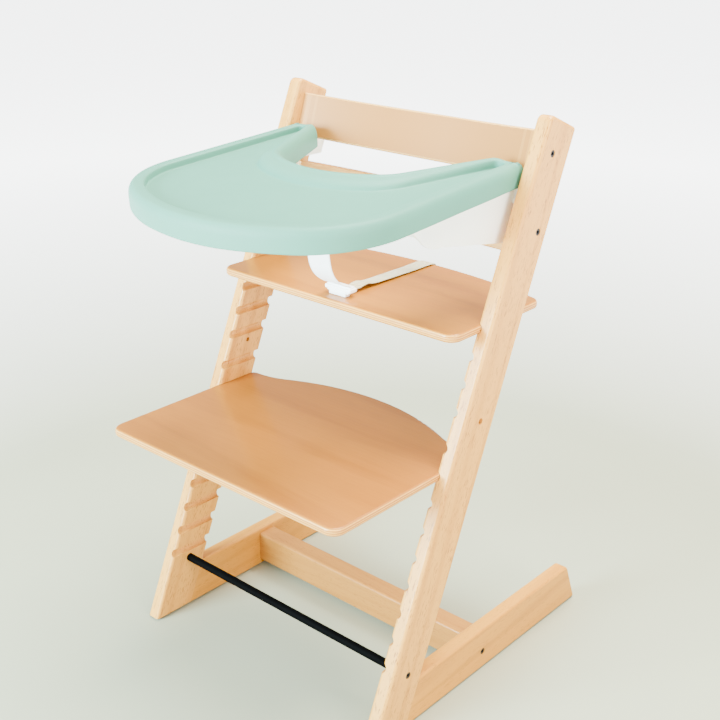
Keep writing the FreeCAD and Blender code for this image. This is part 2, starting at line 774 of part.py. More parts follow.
def add_plate(name, front, side_end, rear_points, rear_arcs, up):
    """A laminated plate with round nosed edges, its sides in two grooves.

    rear_points go from the end of the right side to the rear edge's crown, and
    rear_arcs are the arcs between them, with the crown's own arc last.
    """
    body = new_body(name)
    half, corner = cell("plate_half"), cell("corner_round")
    profile = new_sketch(body, "XY_Plane", up - cell("plate_thick") / 2)
    right = [(half - corner, front), (half, front + corner), (half, side_end)] + rear_points
    left = [(-u, v) for u, v in reversed(right)]
    last = 2 * len(right) - 2
    arcs = {0: (corner, 1), last: (corner, 1), len(right) - 1: rear_arcs[-1]}
    for index, arc in enumerate(rear_arcs[:-1]):
        arcs[2 + index] = arc
        arcs[last - 2 - index] = arc
    outline(profile, right + left, arcs)
    pad(body, profile, cell("plate_thick"))
    level = edges_like(body.Shape, lambda edge: edge.BoundBox.ZLength < 0.01)
    body_fillet(body, level, cell("plate_nose"))
    return keep(name, body)


def arc_radius(run, rise):
    """Radius of an arc that starts level and ends that far along and up."""
    return (run * run + rise * rise) / (rise * 2)


SEAT_SLOPE = math.radians(14.1)
SEAT_CORNER = cell("plate_half") - cell("seat_corner") * (1 - math.sin(SEAT_SLOPE))
SEAT_SHOULDER = cell("seat_side") + cell("seat_corner") * math.cos(SEAT_SLOPE)
add_plate(
    "seat_plate", back(cell("seat_front")), back(cell("seat_side")),
    [(SEAT_CORNER, back(SEAT_SHOULDER))],
    [(cell("seat_corner"), 1),
     (arc_radius(SEAT_CORNER, cell("seat_back") - SEAT_SHOULDER), 1)],
    SEAT_UP)

FOOT_CORNER = cell("plate_half") - cell("foot_corner")
FOOT_SHOULDER = cell("foot_side") + cell("foot_corner")
WAIST_RISE = cell("foot_waist_back") - FOOT_SHOULDER
add_plate(
    "foot_plate", back(cell("foot_front")), back(cell("foot_side")),
    [(FOOT_CORNER, back(FOOT_SHOULDER)), (cell("foot_waist"), back(cell("foot_waist_back")))],
    [(cell("foot_corner"), 1),
     (arc_radius(FOOT_CORNER - cell("foot_waist"), WAIST_RISE), -1),
     (arc_radius(cell("foot_waist"), cell("foot_back") - cell("foot_waist_back")), 1)],
    FOOT_UP)


# --- tray and silicone cover -----------------------------------------------------

TRAY = {
    "front": cell("tray_front"), "half": cell("tray_half"),
    "nose": cell("nose_radius"), "cheek": cell("cheek_radius"),
    "horn_half": cell("horn_half"), "horn_end": cell("horn_end"),
    "horn_corner": cell("horn_corner"), "horn_tip": cell("horn_tip"),
    "bay_front": cell("bay_front"), "bay_radius": cell("bay_radius"),
    "bay_corner": cell("bay_corner"),
    "spread": cell("bay_spread"), "angle": cell("bay_angle"),
}
WELL = {
    "front": cell("tray_front") - cell("rim_wide"), "half": cell("tray_half") - cell("rim_wide"),
    "nose": cell("nose_radius") - cell("rim_wide"),
    "cheek": cell("cheek_radius") - cell("rim_wide"),
    "horn_half": cell("well_horn_half"), "horn_end": cell("well_horn_end"),
    "horn_corner": cell("well_horn_corner"), "horn_tip": cell("well_horn_tip"),
    "bay_front": cell("well_bay_front"), "bay_radius": cell("well_bay_radius"),
    "bay_corner": cell("well_bay_corner"),
    "spread": cell("well_bay_spread"), "angle": cell("well_bay_angle"),
}
CREST = {part: value + cell("crest_out") for part, value in WELL.items()}
CREST.update({
    "bay_front": cell("bay_front") - cell("crest_in"),
    "bay_radius": cell("bay_radius") + cell("crest_in"),
    "bay_corner": cell("bay_corner") + cell("crest_in"),
    "spread": cell("bay_spread"), "angle": cell("bay_angle"),
})
HOLLOW_SIDES = ("bay_radius", "bay_corner")
ANGLES = ("spread", "angle")


def moved_plan(plan, inset):
    """The sizes of a plan whose whole outline is moved in by the same distance."""
    moved = {}
    for part, value in plan.items():
        if part in ANGLES:
            moved[part] = value
        elif part in HOLLOW_SIDES:
            moved[part] = value + inset
        else:
            moved[part] = value - inset
    return moved


def tray_outline(name, plan, inset):
    """Plan of the tray, or of its well: round front, two horns and a waist bay."""
    plan = moved_plan(plan, inset)
    half, cheek, nose = plan["half"], plan["cheek"], plan["nose"]
    horn_half, horn_end = plan["horn_half"], plan["horn_end"]
    share = nose / (nose - cheek)
    nose_centre = nose - plan["front"]
    cheek_start = cell("cheek_start")
    turn, slope = math.radians(plan["spread"].number), math.radians(plan["angle"].number)
    bay_side = (plan["bay_radius"] * math.sin(turn),
                plan["bay_front"] + plan["bay_radius"] * (1 - math.cos(turn)))
    corner = (bay_side[0] + plan["bay_corner"] * (math.sin(slope) - math.sin(turn)),
              bay_side[1] + plan["bay_corner"] * (math.cos(turn) - math.cos(slope)))
    tip_u = corner[0] + (horn_end - corner[1]) / math.tan(slope)
    trim = plan["horn_tip"] * math.tan(slope / 2)
    right = [
        ((half - cheek) * share, nose_centre - (nose_centre - cheek_start) * share),
        (half, cheek_start),
        (horn_half, horn_end - plan["horn_corner"]),
        (horn_half - plan["horn_corner"], horn_end),
        (tip_u + trim, horn_end),
        (tip_u - trim * math.cos(slope), horn_end - trim * math.sin(slope)),
        corner,
        bay_side,
    ]
    left = [(-u, v) for u, v in reversed(right)]
    arcs = {0: (cheek, 1), 2: (plan["horn_corner"], 1), 4: (plan["horn_tip"], 1),
            6: (plan["bay_corner"], -1), 7: (plan["bay_radius"], -1)}
    arcs.update({14 - index: arc for index, arc in arcs.items() if index < 7})
    arcs[15] = (nose, 1)
    sketch = free_sketch(name)
    outline(sketch, right + left, arcs)
    return sketch


def rounded_block(name, profile, low, high, radius):
    """An outline raised between two heights, with its upper edge rounded."""
    block = extrude(name + "_block", profile, high - low, low)
    doc.recompute()
    rounded = doc.addObject("Part::Fillet", name + "_rounded")
    rounded.Base = block
    top = high.number - 0.01
    rounded.Edges = [(index + 1, radius.number, radius.number)
                     for index, edge in enumerate(block.Shape.Edges)
                     if edge.BoundBox.ZMin > top - 0.1]
    return rounded


def well_space(name, inset, above):
    """The space over the tray floor: steep at the outside, sloping up to the bay."""
    low = size(inset) * -1
    high = cell("rim_high") - inset
    foot = tray_outline(name + "_foot_plan", WELL, -inset)
    foot.setExpression("Placement.Base.z", low.formula)
    crest = tray_outline(name + "_crest_plan", CREST, -inset)
    crest.setExpression("Placement.Base.z", high.formula)
    slope = doc.addObject("Part::Loft", name + "_slope")
    slope.Sections = [foot, crest]
    slope.Solid = True
    slope.Ruled = True
    mouth = extrude(name + "_mouth", tray_outline(name + "_mouth_plan", CREST, -inset),
                    above, high)
    return fuse(name, [slope, mouth])


def tray_skin(name, inset, thick, low):
    """One of the two nested skins of the tray: well, rim and skirt."""
    inner = inset + thick
    outer = rounded_block(name + "_outer", tray_outline(name + "_plan", TRAY, inset),
                          low, cell("rim_high") - inset, cell("rim_round") - inset)
    hollow = rounded_block(name + "_hollow", tray_outline(name + "_hollow_plan", TRAY, inner),
                           low - 1, cell("rim_high") - inner, cell("rim_round") - inner)
    well = well_space(name + "_well", inset, 1)
    plug = well_space(name + "_plug", inner, inner + 1)
    slot_middle = cell("slot_low") + cell("slot_wide") / 2
    slots = [box("%s_slot_%s" % (name, label), cell("slot_wide"), 20,
                 cell("panel_top") + cell("slot_clear") - low + 1,
                 slot_middle * side - cell("slot_wide") / 2, cell("horn_end") - 15, low - 1)
             for label, side in SIDES]
    return cut(name, outer, [well, cut(name + "_void", hollow, [plug])] + slots)


def lay_on_tray(thing):
    """Move something from the tray's own frame to its place on the chair."""
    place(thing, 0, back(cell("tray_back")), cell("tray_floor"),
          axis=(1, 0, 0), angle=cell("tray_slope").number)
    return thing


SHELL_INSET = cell("cover_thick") + cell("cover_gap")
keep("silicone_tray_cover", lay_on_tray(
    tray_skin("cover", size(0), cell("cover_thick"), -cell("skirt_low"))))
keep("tray_shell", lay_on_tray(
    tray_skin("shell", SHELL_INSET, cell("shell_thick"), -cell("shell_low"))))


# --- guard: side panels and front rail ---------------------------------------------

def side_slab(name, corners, x_start, thick, arcs=None):
    """A slab with its outline drawn as depth and height, thick along X."""
    sketch = free_sketch(name + "_side")
    outline(sketch, [(back(depth), height) for depth, height in corners], arcs)
    slab = doc.addObject("Part::Extrusion", name)
    slab.Base = sketch
    slab.DirMode = "Custom"
    slab.Dir = Vector(0, 0, 1)
    slab.Solid = True
    bind(slab, LengthFwd=thick)
    place(slab, x_start, 0, 0, axis=(1, 1, 1), angle=120)
    return slab


def tray_level(depth, above):
    """Height of a level of the tray's frame at a depth behind the foot line."""
    fall = math.tan(math.radians(cell("tray_slope").number))
    return cell("tray_floor") + above + (size(depth) - cell("tray_back")) * fall


def stile_depth(height, ahead):
    """Depth of a line parallel to the stiles, ahead of their front edge."""
    return cell("lean") * height - ahead


LIE = 0.3


def slab_start(side, near, thick):
    """Where a slab starts along X when its inner face is this far out."""
    return near if side > 0 else (near + thick) * -1


def add_side_panel(name, side):
    """A side panel that carries the tray.

    An arm between the two backrests joins it to a heel on the stile's inner
    face and to a hook behind the stile.
    """
    thick = cell("panel_thick")
    inner = cell("panel_outer") - thick
    low, top = cell("arm_low"), cell("arm_top")
    rear = cell("panel_rear")
    behind = -(cell("stile_run") + cell("hook_gap"))
    hook_rear = behind - cell("hook_thick")
    plate = side_slab(name + "_plate", [
        (88, 690), (94, 681), (120, 658), (160, 643), (304, 618.5), (311, low),
        (stile_depth(low, hook_rear), low),
        (stile_depth(top, hook_rear), top),
        (rear, top),
        (rear, tray_level(rear, cell("panel_top"))),
        (88, tray_level(88, cell("panel_top"))),
    ], slab_start(side, inner, thick), thick, {
        0: (12.0, 1), 2: (50.0, 1),
    })
    heel_front = -cell("heel_inset")
    heel_rear = cell("heel_inset") - cell("stile_run")
    heel_thick = BETWEEN - cell("panel_outer") + 1
    heel = side_slab(name + "_heel", [
        (stile_depth(low, heel_front), low),
        (stile_depth(low, heel_rear), low),
        (stile_depth(top, heel_rear), top),
        (stile_depth(top, heel_front), top),
    ], slab_start(side, cell("panel_outer") - 1, heel_thick), heel_thick)
    hook_wide = INNER + cell("hook_reach") - inner
    hook = side_slab(name + "_hook", [
        (stile_depth(low, behind), low),
        (stile_depth(low, hook_rear), low),
        (stile_depth(top, hook_rear), top),
        (stile_depth(top, behind), top),
    ], slab_start(side, inner, hook_wide), hook_wide)
    blank = fuse(name + "_blank", [plate, heel, hook])
    sockets = [along_x("%s_socket_%d" % (name, index), cell("rail_pin_dia") / 2,
                       cell("pin_in_panel") + LIE + 1, (inner - 1) * side, y, z, side)
               for index, (y, z) in enumerate(RAIL_PINS)]
    return keep(name, cut(name + "_bored", blank, sockets))


RAIL_PINS = [(back(cell("rail_back")) + cell("pin_offset") * way, cell("rail_up"))
             for way in (-1, 1)]
for name, side in SIDES:
    add_side_panel(name + "_side_panel", side)

PANEL_INNER = cell("panel_outer") - cell("panel_thick")
RAIL_HALF = PANEL_INNER - cell("end_gap")
PIN_START = PANEL_INNER + cell("pin_in_panel") - cell("rail_pin_long")
rail = box("rail_blank", RAIL_HALF * 2, cell("rail_deep"), cell("rail_high"), -RAIL_HALF,
           back(cell("rail_back")) - cell("rail_deep") / 2, cell("rail_up") - cell("rail_high") / 2)
doc.recompute()
rail_round = doc.addObject("Part::Fillet", "rail_round_edges")
rail_round.Base = rail
radius = cell("rail_round").number
rail_round.Edges = [(index + 1, radius, radius) for index, edge in enumerate(rail.Shape.Edges)
                    if edge.BoundBox.XLength > RAIL_HALF.number]
keep("front_rail", cut("rail_bored", rail_round, [
    along_x("rail_socket_%s_%d" % (label, index), cell("rail_pin_dia") / 2, cell("rail_pin_long"),
            (PIN_START - LIE) * side, y, z, side)
    for label, side in SIDES for index, (y, z) in enumerate(RAIL_PINS)]))
group("rail_pins", [
    along_x("rail_pin_%s_%d" % (label, index), cell("rail_pin_dia") / 2, cell("rail_pin_long"),
            PIN_START * side, y, z, side)
    for label, side in SIDES for index, (y, z) in enumerate(RAIL_PINS)])


# --- crotch strap, clip and seat webbing -----------------------------------------------

def ribbon(points, thick):
    """Both edges of a strip that follows a line of points, as one outline."""
    points = [Vector(depth, height, 0) for depth, height in points]
    near, far = [], []
    for index, point in enumerate(points):
        before = points[max(index - 1, 0)]
        after = points[min(index + 1, len(points) - 1)]
        along = (after - before).normalize()
        across = Vector(-along.y, along.x, 0) * thick / 2
        near.append(point - across)
        far.append(point + across)
    return [(point.x, point.y) for point in near + far[::-1]]


SEAT_TOP = (SEAT_UP + cell("plate_thick") / 2).number
SEAT_LOW = (SEAT_UP - cell("plate_thick") / 2).number
strap_thick = cell("strap_thick").number
strap_wide = cell("strap_wide")
ring_gap = cell("strap_ring_gap").number
ring_deep = cell("rail_deep").number / 2 + ring_gap
ring_high = cell("rail_high").number / 2 + ring_gap
ring_y, ring_z = cell("rail_back").number, cell("rail_up").number


def frame_corners(grow):
    """Corners of the strap's loop round the rail."""
    return [(ring_y - ring_deep - grow, ring_z - ring_high - grow),
            (ring_y + ring_deep + grow, ring_z - ring_high - grow),
            (ring_y + ring_deep + grow, ring_z + ring_high + grow),
            (ring_y - ring_deep - grow, ring_z + ring_high + grow)]


loop = cut("strap_loop",
           side_slab("strap_loop_out", frame_corners(strap_thick), -strap_wide / 2, strap_wide),
           [side_slab("strap_loop_in", frame_corners(0), -strap_wide / 2 - 1, strap_wide + 2)])
STRAP_ROUTE = [(142, 658.9), (146, 612), (149, 593), (154, 575), (163, 561.5), (174, 552.5),
               (184, 547.9), (198, 547.4)]
tail = side_slab("strap_tail", ribbon(STRAP_ROUTE, strap_thick), -strap_wide / 2, strap_wide)
keep("crotch_strap", fuse("crotch_strap_all", [loop, tail]))

CLIP_REAR = cell("clip_back") + cell("clip_deep")
CLIP_LOW = SEAT_TOP + LIE
clip_foot = box("clip_foot", cell("clip_foot_wide"), cell("clip_deep"), cell("clip_high"),
                -cell("clip_foot_wide") / 2, back(cell("clip_back")), CLIP_LOW)
clip_top = box("clip_top", cell("clip_wide"), cell("clip_deep"),
               cell("clip_high") - cell("clip_foot_high"), -cell("clip_wide") / 2,
               back(cell("clip_back")), cell("clip_foot_high") + CLIP_LOW)
clip_slot = box("clip_slot", cell("web_wide") + 1, cell("clip_slot_deep") + 1,
                cell("clip_slot_high") + 1, -cell("web_wide") / 2 - 0.5,
                back(CLIP_REAR - cell("clip_slot_deep")), CLIP_LOW - 1)
keep("strap_clip", cut("clip_slotted", fuse("clip_blank", [clip_foot, clip_top]), [clip_slot]))

web = cell("web_thick").number
WEB_UP = SEAT_TOP + LIE + web / 2
WEB_UNDER = SEAT_LOW - LIE - web / 2
SEAT_REAR = cell("seat_back").number
WEB_FRONT = (CLIP_REAR - cell("clip_slot_deep")).number + 0.5
WEB_ROUTE = [(WEB_FRONT, WEB_UP), (SEAT_REAR - 1.5, WEB_UP), (SEAT_REAR + 1.6, WEB_UP - 3.5),
             (SEAT_REAR + 1.6, WEB_UNDER + 3.5), (SEAT_REAR - 1.5, WEB_UNDER),
             (cell("web_under").number, WEB_UNDER)]
keep("seat_webbing", side_slab("webbing", ribbon(WEB_ROUTE, web), -cell("web_wide") / 2,
                               cell("web_wide")))


# --- check and write ---------------------------------------------------------

doc.recompute()
for thing in doc.Objects:
    if "Invalid" in thing.State or "Error" in thing.State:
        raise RuntimeError("%s is in state %s" % (thing.Name, thing.State))
for name, thing in nodes.items():
    if thing.Shape.isNull() or not thing.Shape.isValid():
        raise RuntimeError("bad shape: " + name)
    thing.Shape.exportStep("parts/%s.step" % name)
    print(name, len(thing.Shape.Solids), round(thing.Shape.Volume / 1000, 1), thing.Shape.BoundBox)
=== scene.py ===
"""Looks of the adjustable high chair with its silicone tray cover, in metres."""
import math

import bmesh
import bpy
from mathutils import Matrix, Vector, noise


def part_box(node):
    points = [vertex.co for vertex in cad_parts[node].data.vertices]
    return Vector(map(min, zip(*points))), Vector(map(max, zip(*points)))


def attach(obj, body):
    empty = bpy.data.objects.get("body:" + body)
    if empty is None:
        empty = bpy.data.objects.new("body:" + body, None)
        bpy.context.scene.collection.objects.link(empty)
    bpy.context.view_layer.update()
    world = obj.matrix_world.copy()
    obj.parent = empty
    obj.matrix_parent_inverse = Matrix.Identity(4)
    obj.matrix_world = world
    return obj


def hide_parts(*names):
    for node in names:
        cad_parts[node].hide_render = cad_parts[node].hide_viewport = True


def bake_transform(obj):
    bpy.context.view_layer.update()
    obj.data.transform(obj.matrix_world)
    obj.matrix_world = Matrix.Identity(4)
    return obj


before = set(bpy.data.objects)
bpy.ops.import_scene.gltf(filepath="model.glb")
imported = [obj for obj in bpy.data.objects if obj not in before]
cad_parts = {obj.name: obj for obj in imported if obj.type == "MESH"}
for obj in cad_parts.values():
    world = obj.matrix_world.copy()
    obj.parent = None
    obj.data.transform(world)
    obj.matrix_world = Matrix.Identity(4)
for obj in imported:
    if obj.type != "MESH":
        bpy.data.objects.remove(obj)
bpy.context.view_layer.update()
SCENE = bpy.context.scene

# --- sizes that the soft pieces follow, in metres ----------------------------------
FOOT_LINE = -0.2026          # Y of the stiles' front edges at floor level
LEAN = 0.424                 # how far a stile goes back for each unit of height
PLATE_THICK = 0.012          # seat plate and foot plate
BOARD_THICK = 0.014          # backrests
BOARD_FLAT = 0.060           # half the width of a backrest's flat middle
BOARD_BEND = 0.916           # radius of its bent ends
PLY_LAYER = 0.0015
FACE_VENEER = 0.0006
SEAT_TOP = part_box("seat_plate")[1].z
SEAT_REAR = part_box("seat_plate")[1].y
TRAY_SLOPE = math.radians(3.72)
TRAY_PLACE = Vector((0, FOOT_LINE + 0.100, 0.698))


# --- small helpers ------------------------------------------------------------------

def srgb(red, green, blue):
    """A colour given as 0 to 255, in the linear values that the shaders take."""
    linear = []
    for value in (red, green, blue):
        value /= 255
        linear.append(value / 12.92 if value <= 0.04045
                      else ((value + 0.055) / 1.055) ** 2.4)
    return (*linear, 1.0)


class Shader:
    """A material and short ways to add nodes to it."""

    def __init__(self, name, **principled):
        self.material = bpy.data.materials.new(name)
        self.material.use_nodes = True
        self.tree = self.material.node_tree
        self.surface = self.tree.nodes["Principled BSDF"]
        for socket, value in principled.items():
            self.surface.inputs[socket.replace("_", " ")].default_value = value
        self.place = self.node("ShaderNodeTexCoord").outputs["Object"]

    def node(self, kind, inputs=(), **settings):
        """A new node. inputs are its sockets' values or links, settings its own."""
        made = self.tree.nodes.new(kind)
        for name, value in settings.items():
            setattr(made, name, value)
        for socket, value in dict(inputs).items():
            self.put(value, made.inputs[socket])
        return made

    def put(self, value, socket):
        """Link a socket to another node's output, or set its value."""
        if isinstance(value, bpy.types.NodeSocket):
            self.tree.links.new(value, socket)
        else:
            socket.default_value = value

    def math(self, operation, *values, clamp=False):
        made = self.node("ShaderNodeMath", operation=operation, use_clamp=clamp)
        for index, value in enumerate(values):
            self.put(value, made.inputs[index])
        return made.outputs[0]

    def turned(self, angles=(0, 0, 0), scale=(1, 1, 1)):
        """The piece's own coordinates, turned and then stretched."""
        turn = self.node("ShaderNodeMapping", {"Vector": self.place, "Rotation": angles})
        return self.node("ShaderNodeMapping",
                         {"Vector": turn.outputs[0], "Scale": scale}).outputs[0]

    def noise(self, vector, scale, detail=3.0, roughness=0.5, distortion=0.0):
        return self.node("ShaderNodeTexNoise", {
            "Vector": vector, "Scale": scale, "Detail": detail,
            "Roughness": roughness, "Distortion": distortion}).outputs[0]

    def ramp(self, factor, *stops):
        """A colour ramp. A stop is a position and a colour or a grey level."""
        made = self.node("ShaderNodeValToRGB", {"Fac": factor})
        elements = made.color_ramp.elements
        while len(elements) < len(stops):
            elements.new(0.5)
        for element, (position, colour) in zip(elements, stops):
            element.position = position
            element.color = colour if hasattr(colour, "__len__") else (colour,) * 3 + (1,)
        return made.outputs[0]

    def mix(self, factor, first, second, blend="MIX"):
        made = self.node("ShaderNodeMix", data_type="RGBA", blend_type=blend)
        self.put(factor, made.inputs["Factor"])
        self.put(first, made.inputs["A"])
        self.put(second, made.inputs["B"])
        return made.outputs["Result"]

    def bump(self, height, strength, distance, below=None):
        inputs = {"Height": height, "Strength": strength, "Distance": distance}
        if below is not None:
            inputs["Normal"] = below
        return self.node("ShaderNodeBump", inputs).outputs[0]

    def finish(self, colour=None, roughness=None, normal=None):
        """Connect what is given to the surface. Returns the material."""
        for socket, value in (("Base Color", colour), ("Roughness", roughness),
                              ("Normal", normal)):
            if value is not None:
                self.put(value, self.surface.inputs[socket])
        return self.material


def dress(names, material):
    """Give CAD nodes a material in place of their own."""
    for name in names:
        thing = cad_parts[name]
        thing.data.materials.clear()
        thing.data.materials.append(material)


# --- materials ------------------------------------------------------------------------

# Turns that bring a piece's own grain to Z, which the wood materials are drawn along.
ACROSS_TO_Z = (0.0, -math.pi / 2, 0.0)
BACK_TO_Z = (math.pi / 2, 0.0, 0.0)
LEANING_TO_Z = (math.atan(LEAN), 0.0, 0.0)


def beech(name, turn, light, dark, fleck=0.85, streaks=1.0):
    """Solid beech under satin lacquer, its grain along turned Z."""
    wood = Shader(name, Coat_Weight=0.22, Coat_Roughness=0.2, Specular_IOR_Level=0.22)
    broad = wood.noise(wood.turned(turn, (1, 1, 0.07)), 17.0, 4.0, 0.55, 0.6)
    fibre = wood.noise(wood.turned(turn, (1, 1, 0.03)), 520.0, 3.0, 0.6)
    rings = wood.node("ShaderNodeTexWave", {
        "Vector": wood.turned(turn, (1, 1, 0.05)), "Scale": 22.0 * streaks,
        "Distortion": 5.5, "Detail": 2.0, "Detail Scale": 1.4,
        "Detail Roughness": 0.5}, bands_direction="DIAGONAL").outputs["Fac"]
    spots = wood.noise(wood.turned(turn, (1.0, 1.0, 0.15)), 780.0, 1.5, 0.4)
    sparse = wood.noise(wood.turned(turn, (1, 1, 0.4)), 60.0, 2.0)
    tone = wood.math("ADD", wood.math("MULTIPLY", broad, 0.65),
                     wood.math("MULTIPLY", rings, 0.35))
    colour = wood.ramp(tone, (0.22, dark), (0.5, light), (0.82, light))
    warm = wood.mix(1.0, light, (0.93, 0.87, 0.82, 1), "MULTIPLY")
    colour = wood.mix(wood.ramp(fibre, (0.45, 0.0), (0.72, 0.5)), colour, warm)
    flecks = wood.math("MULTIPLY", wood.ramp(spots, (0.60, 0.0), (0.66, 1.0)),
                       wood.ramp(sparse, (0.35, 0.25), (0.6, 1.0)))
    brown = wood.mix(1.0, dark, (0.52, 0.38, 0.28, 1), "MULTIPLY")
    colour = wood.mix(wood.math("MULTIPLY", flecks, fleck), colour, brown)
    height = wood.math("SUBTRACT", fibre, wood.math("MULTIPLY", flecks, 0.7))
    return wood.finish(colour, wood.ramp(broad, (0.2, 0.34), (0.8, 0.46)),
                       wood.bump(height, 0.12, 0.0003))


def veneer(wood, light, dark):
    """Colour of a face veneer with its fine grain across the chair."""
    broad = wood.noise(wood.turned(ACROSS_TO_Z, (1, 1, 0.10)), 16.0, 4.0, 0.55, 0.8)
    fibre = wood.noise(wood.turned(ACROSS_TO_Z, (1, 1, 0.03)), 420.0, 3.0, 0.6)
    specks = wood.noise(wood.turned(ACROSS_TO_Z, (1, 1, 0.2)), 520.0, 1.5, 0.4)
    colour = wood.ramp(broad, (0.28, dark), (0.52, light), (0.8, light))
    deeper = wood.mix(1.0, colour, (0.90, 0.83, 0.74, 1), "MULTIPLY")
    colour = wood.mix(wood.ramp(fibre, (0.42, 0.0), (0.70, 0.55)), colour, deeper)
    colour = wood.mix(wood.ramp(specks, (0.66, 0.0), (0.74, 0.4)), colour, deeper)
    return colour, fibre, broad


def plies(wood, depth, thick, face, layer_light, layer_dark):
    """Layers through the thickness, with the face veneer on both outer faces."""
    count = wood.math("DIVIDE", depth, PLY_LAYER)
    odd = wood.math("MODULO", wood.math("FLOOR", count), 2.0)
    part = wood.math("FRACT", count)
    wobble = wood.noise(wood.turned(ACROSS_TO_Z, (1, 1, 0.04)), 300.0, 3.0)
    layers = wood.mix(odd, layer_light, layer_dark)
    layers = wood.mix(wood.ramp(wobble, (0.4, 0.0), (0.75, 0.45)), layers, layer_dark)
    from_middle = wood.math("ABSOLUTE", wood.math("SUBTRACT", part, 0.5))
    glue = wood.math("GREATER_THAN", from_middle, 0.44)
    brown = wood.mix(1.0, layer_dark, (0.78, 0.66, 0.52, 1), "MULTIPLY")
    layers = wood.mix(wood.math("MULTIPLY", glue, 0.55), layers, brown)
    middle = wood.math("ABSOLUTE", wood.math("SUBTRACT", depth, thick / 2))
    on_face = wood.math("GREATER_THAN", middle, thick / 2 - FACE_VENEER)
    return wood.mix(on_face, layers, face)


def plate_ply(name, low, light, dark):
    """A laminated plate whose layers lie level."""
    wood = Shader(name, Coat_Weight=0.25, Coat_Roughness=0.14, Specular_IOR_Level=0.22)
    face, fibre, broad = veneer(wood, light, dark)
    height = wood.node("ShaderNodeSeparateXYZ", {"Vector": wood.place}).outputs["Z"]
    depth = wood.math("SUBTRACT", height, low)
    colour = plies(wood, depth, PLATE_THICK, face,
                   (0.74, 0.38, 0.085, 1), (0.47, 0.17, 0.020, 1))
    return wood.finish(colour, wood.ramp(broad, (0.2, 0.30), (0.8, 0.42)),
                       wood.bump(fibre, 0.07, 0.0003))


def board_ply(name, node, tilt, light, dark):
    """A bent, tilted plywood board whose layers follow the bend."""
    tilt = math.radians(tilt)
    low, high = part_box(node)
    foot = Vector((0, high.y, low.z))
    wood = Shader(name, Coat_Weight=0.25, Coat_Roughness=0.16, Specular_IOR_Level=0.22)
    face, fibre, broad = veneer(wood, light, dark)
    at = wood.node("ShaderNodeSeparateXYZ", {"Vector": wood.place})
    back = wood.math("SUBTRACT", at.outputs["Y"], foot.y)
    up = wood.math("SUBTRACT", at.outputs["Z"], foot.z)
    past_flat = wood.math("SUBTRACT", wood.math("ABSOLUTE", at.outputs["X"]), BOARD_FLAT)
    across = wood.math("MAXIMUM", past_flat, 0.0)
    bend = wood.math("DIVIDE", wood.math("MULTIPLY", across, across), BOARD_BEND * 2)
    level = wood.math("SUBTRACT", wood.math("MULTIPLY", back, math.cos(tilt)),
                      wood.math("MULTIPLY", up, math.sin(tilt)))
    reach = (high.z - low.z) * math.sin(tilt)
    depth = wood.math("ADD", wood.math("ADD", level, bend), BOARD_THICK + reach)
    colour = plies(wood, depth, BOARD_THICK, face,
                   (0.72, 0.40, 0.12, 1), (0.50, 0.22, 0.045, 1))
    return wood.finish(colour, wood.ramp(broad, (0.2, 0.32), (0.8, 0.44)),
                       wood.bump(fibre, 0.07, 0.0003))


def moulded(name, colour, second, roughness, grain, strength, **principled):
    """Moulded plastic, rubber, paint or plain metal, with a fine grain.

    The colour drifts between the two that are given, and the roughness with it.
    """
    plastic = Shader(name, **principled)
    cloud = plastic.noise(plastic.place, 9.0, 3.0)
    fine = plastic.noise(plastic.place, grain, 3.0, 0.6)
    tint = plastic.mix(plastic.ramp(cloud, (0.3, 0.0), (0.7, 1.0)), colour, second)
    rough = plastic.ramp(cloud, (0.25, max(roughness - 0.05, 0.0)),
                         (0.75, roughness + 0.05))
    return plastic.finish(tint, rough, plastic.bump(fine, strength, 0.0002))


SILICONE = moulded("silicone_sage", (0.081, 0.262, 0.187, 1), (0.076, 0.248, 0.176, 1),
                   0.55, 1400.0, 0.10, Specular_IOR_Level=0.3, Subsurface_Weight=0.12,
                   Subsurface_Radius=(0.006, 0.009, 0.008), Subsurface_Scale=0.3)
TRAY_WHITE = moulded("tray_white", srgb(240, 241, 236), srgb(234, 236, 230),
                     0.42, 900.0, 0.06)
PANEL_CREAM = moulded("panel_cream", srgb(250, 250, 240), srgb(246, 247, 235),
                      0.38, 900.0, 0.05, Subsurface_Weight=0.35, Subsurface_Scale=0.4,
                      Subsurface_Radius=(0.012, 0.011, 0.008))
CLIP_WHITE = moulded("clip_white", srgb(252, 252, 252), srgb(247, 248, 248),
                     0.34, 900.0, 0.05)
ROD_BLACK = moulded("rod_black", (0.001, 0.001, 0.001, 1), (0.002, 0.002, 0.002, 1), 0.6,
                    1500.0, 0.2, Specular_IOR_Level=0.01)
BOLT_BLACK = moulded("bolt_black", (0.004, 0.004, 0.004, 1), (0.007, 0.007, 0.008, 1), 0.4,
                     1100.0, 0.2, Specular_IOR_Level=0.3)
ZINC = moulded("zinc", (0.55, 0.56, 0.58, 1), (0.48, 0.49, 0.52, 1), 0.34, 700.0, 0.2,
               Metallic=1.0)
GLIDER_BLACK = moulded("glider_black", (0.004, 0.004, 0.004, 1), (0.007, 0.007, 0.007, 1),
                       0.7, 800.0, 0.4, Specular_IOR_Level=0.2)

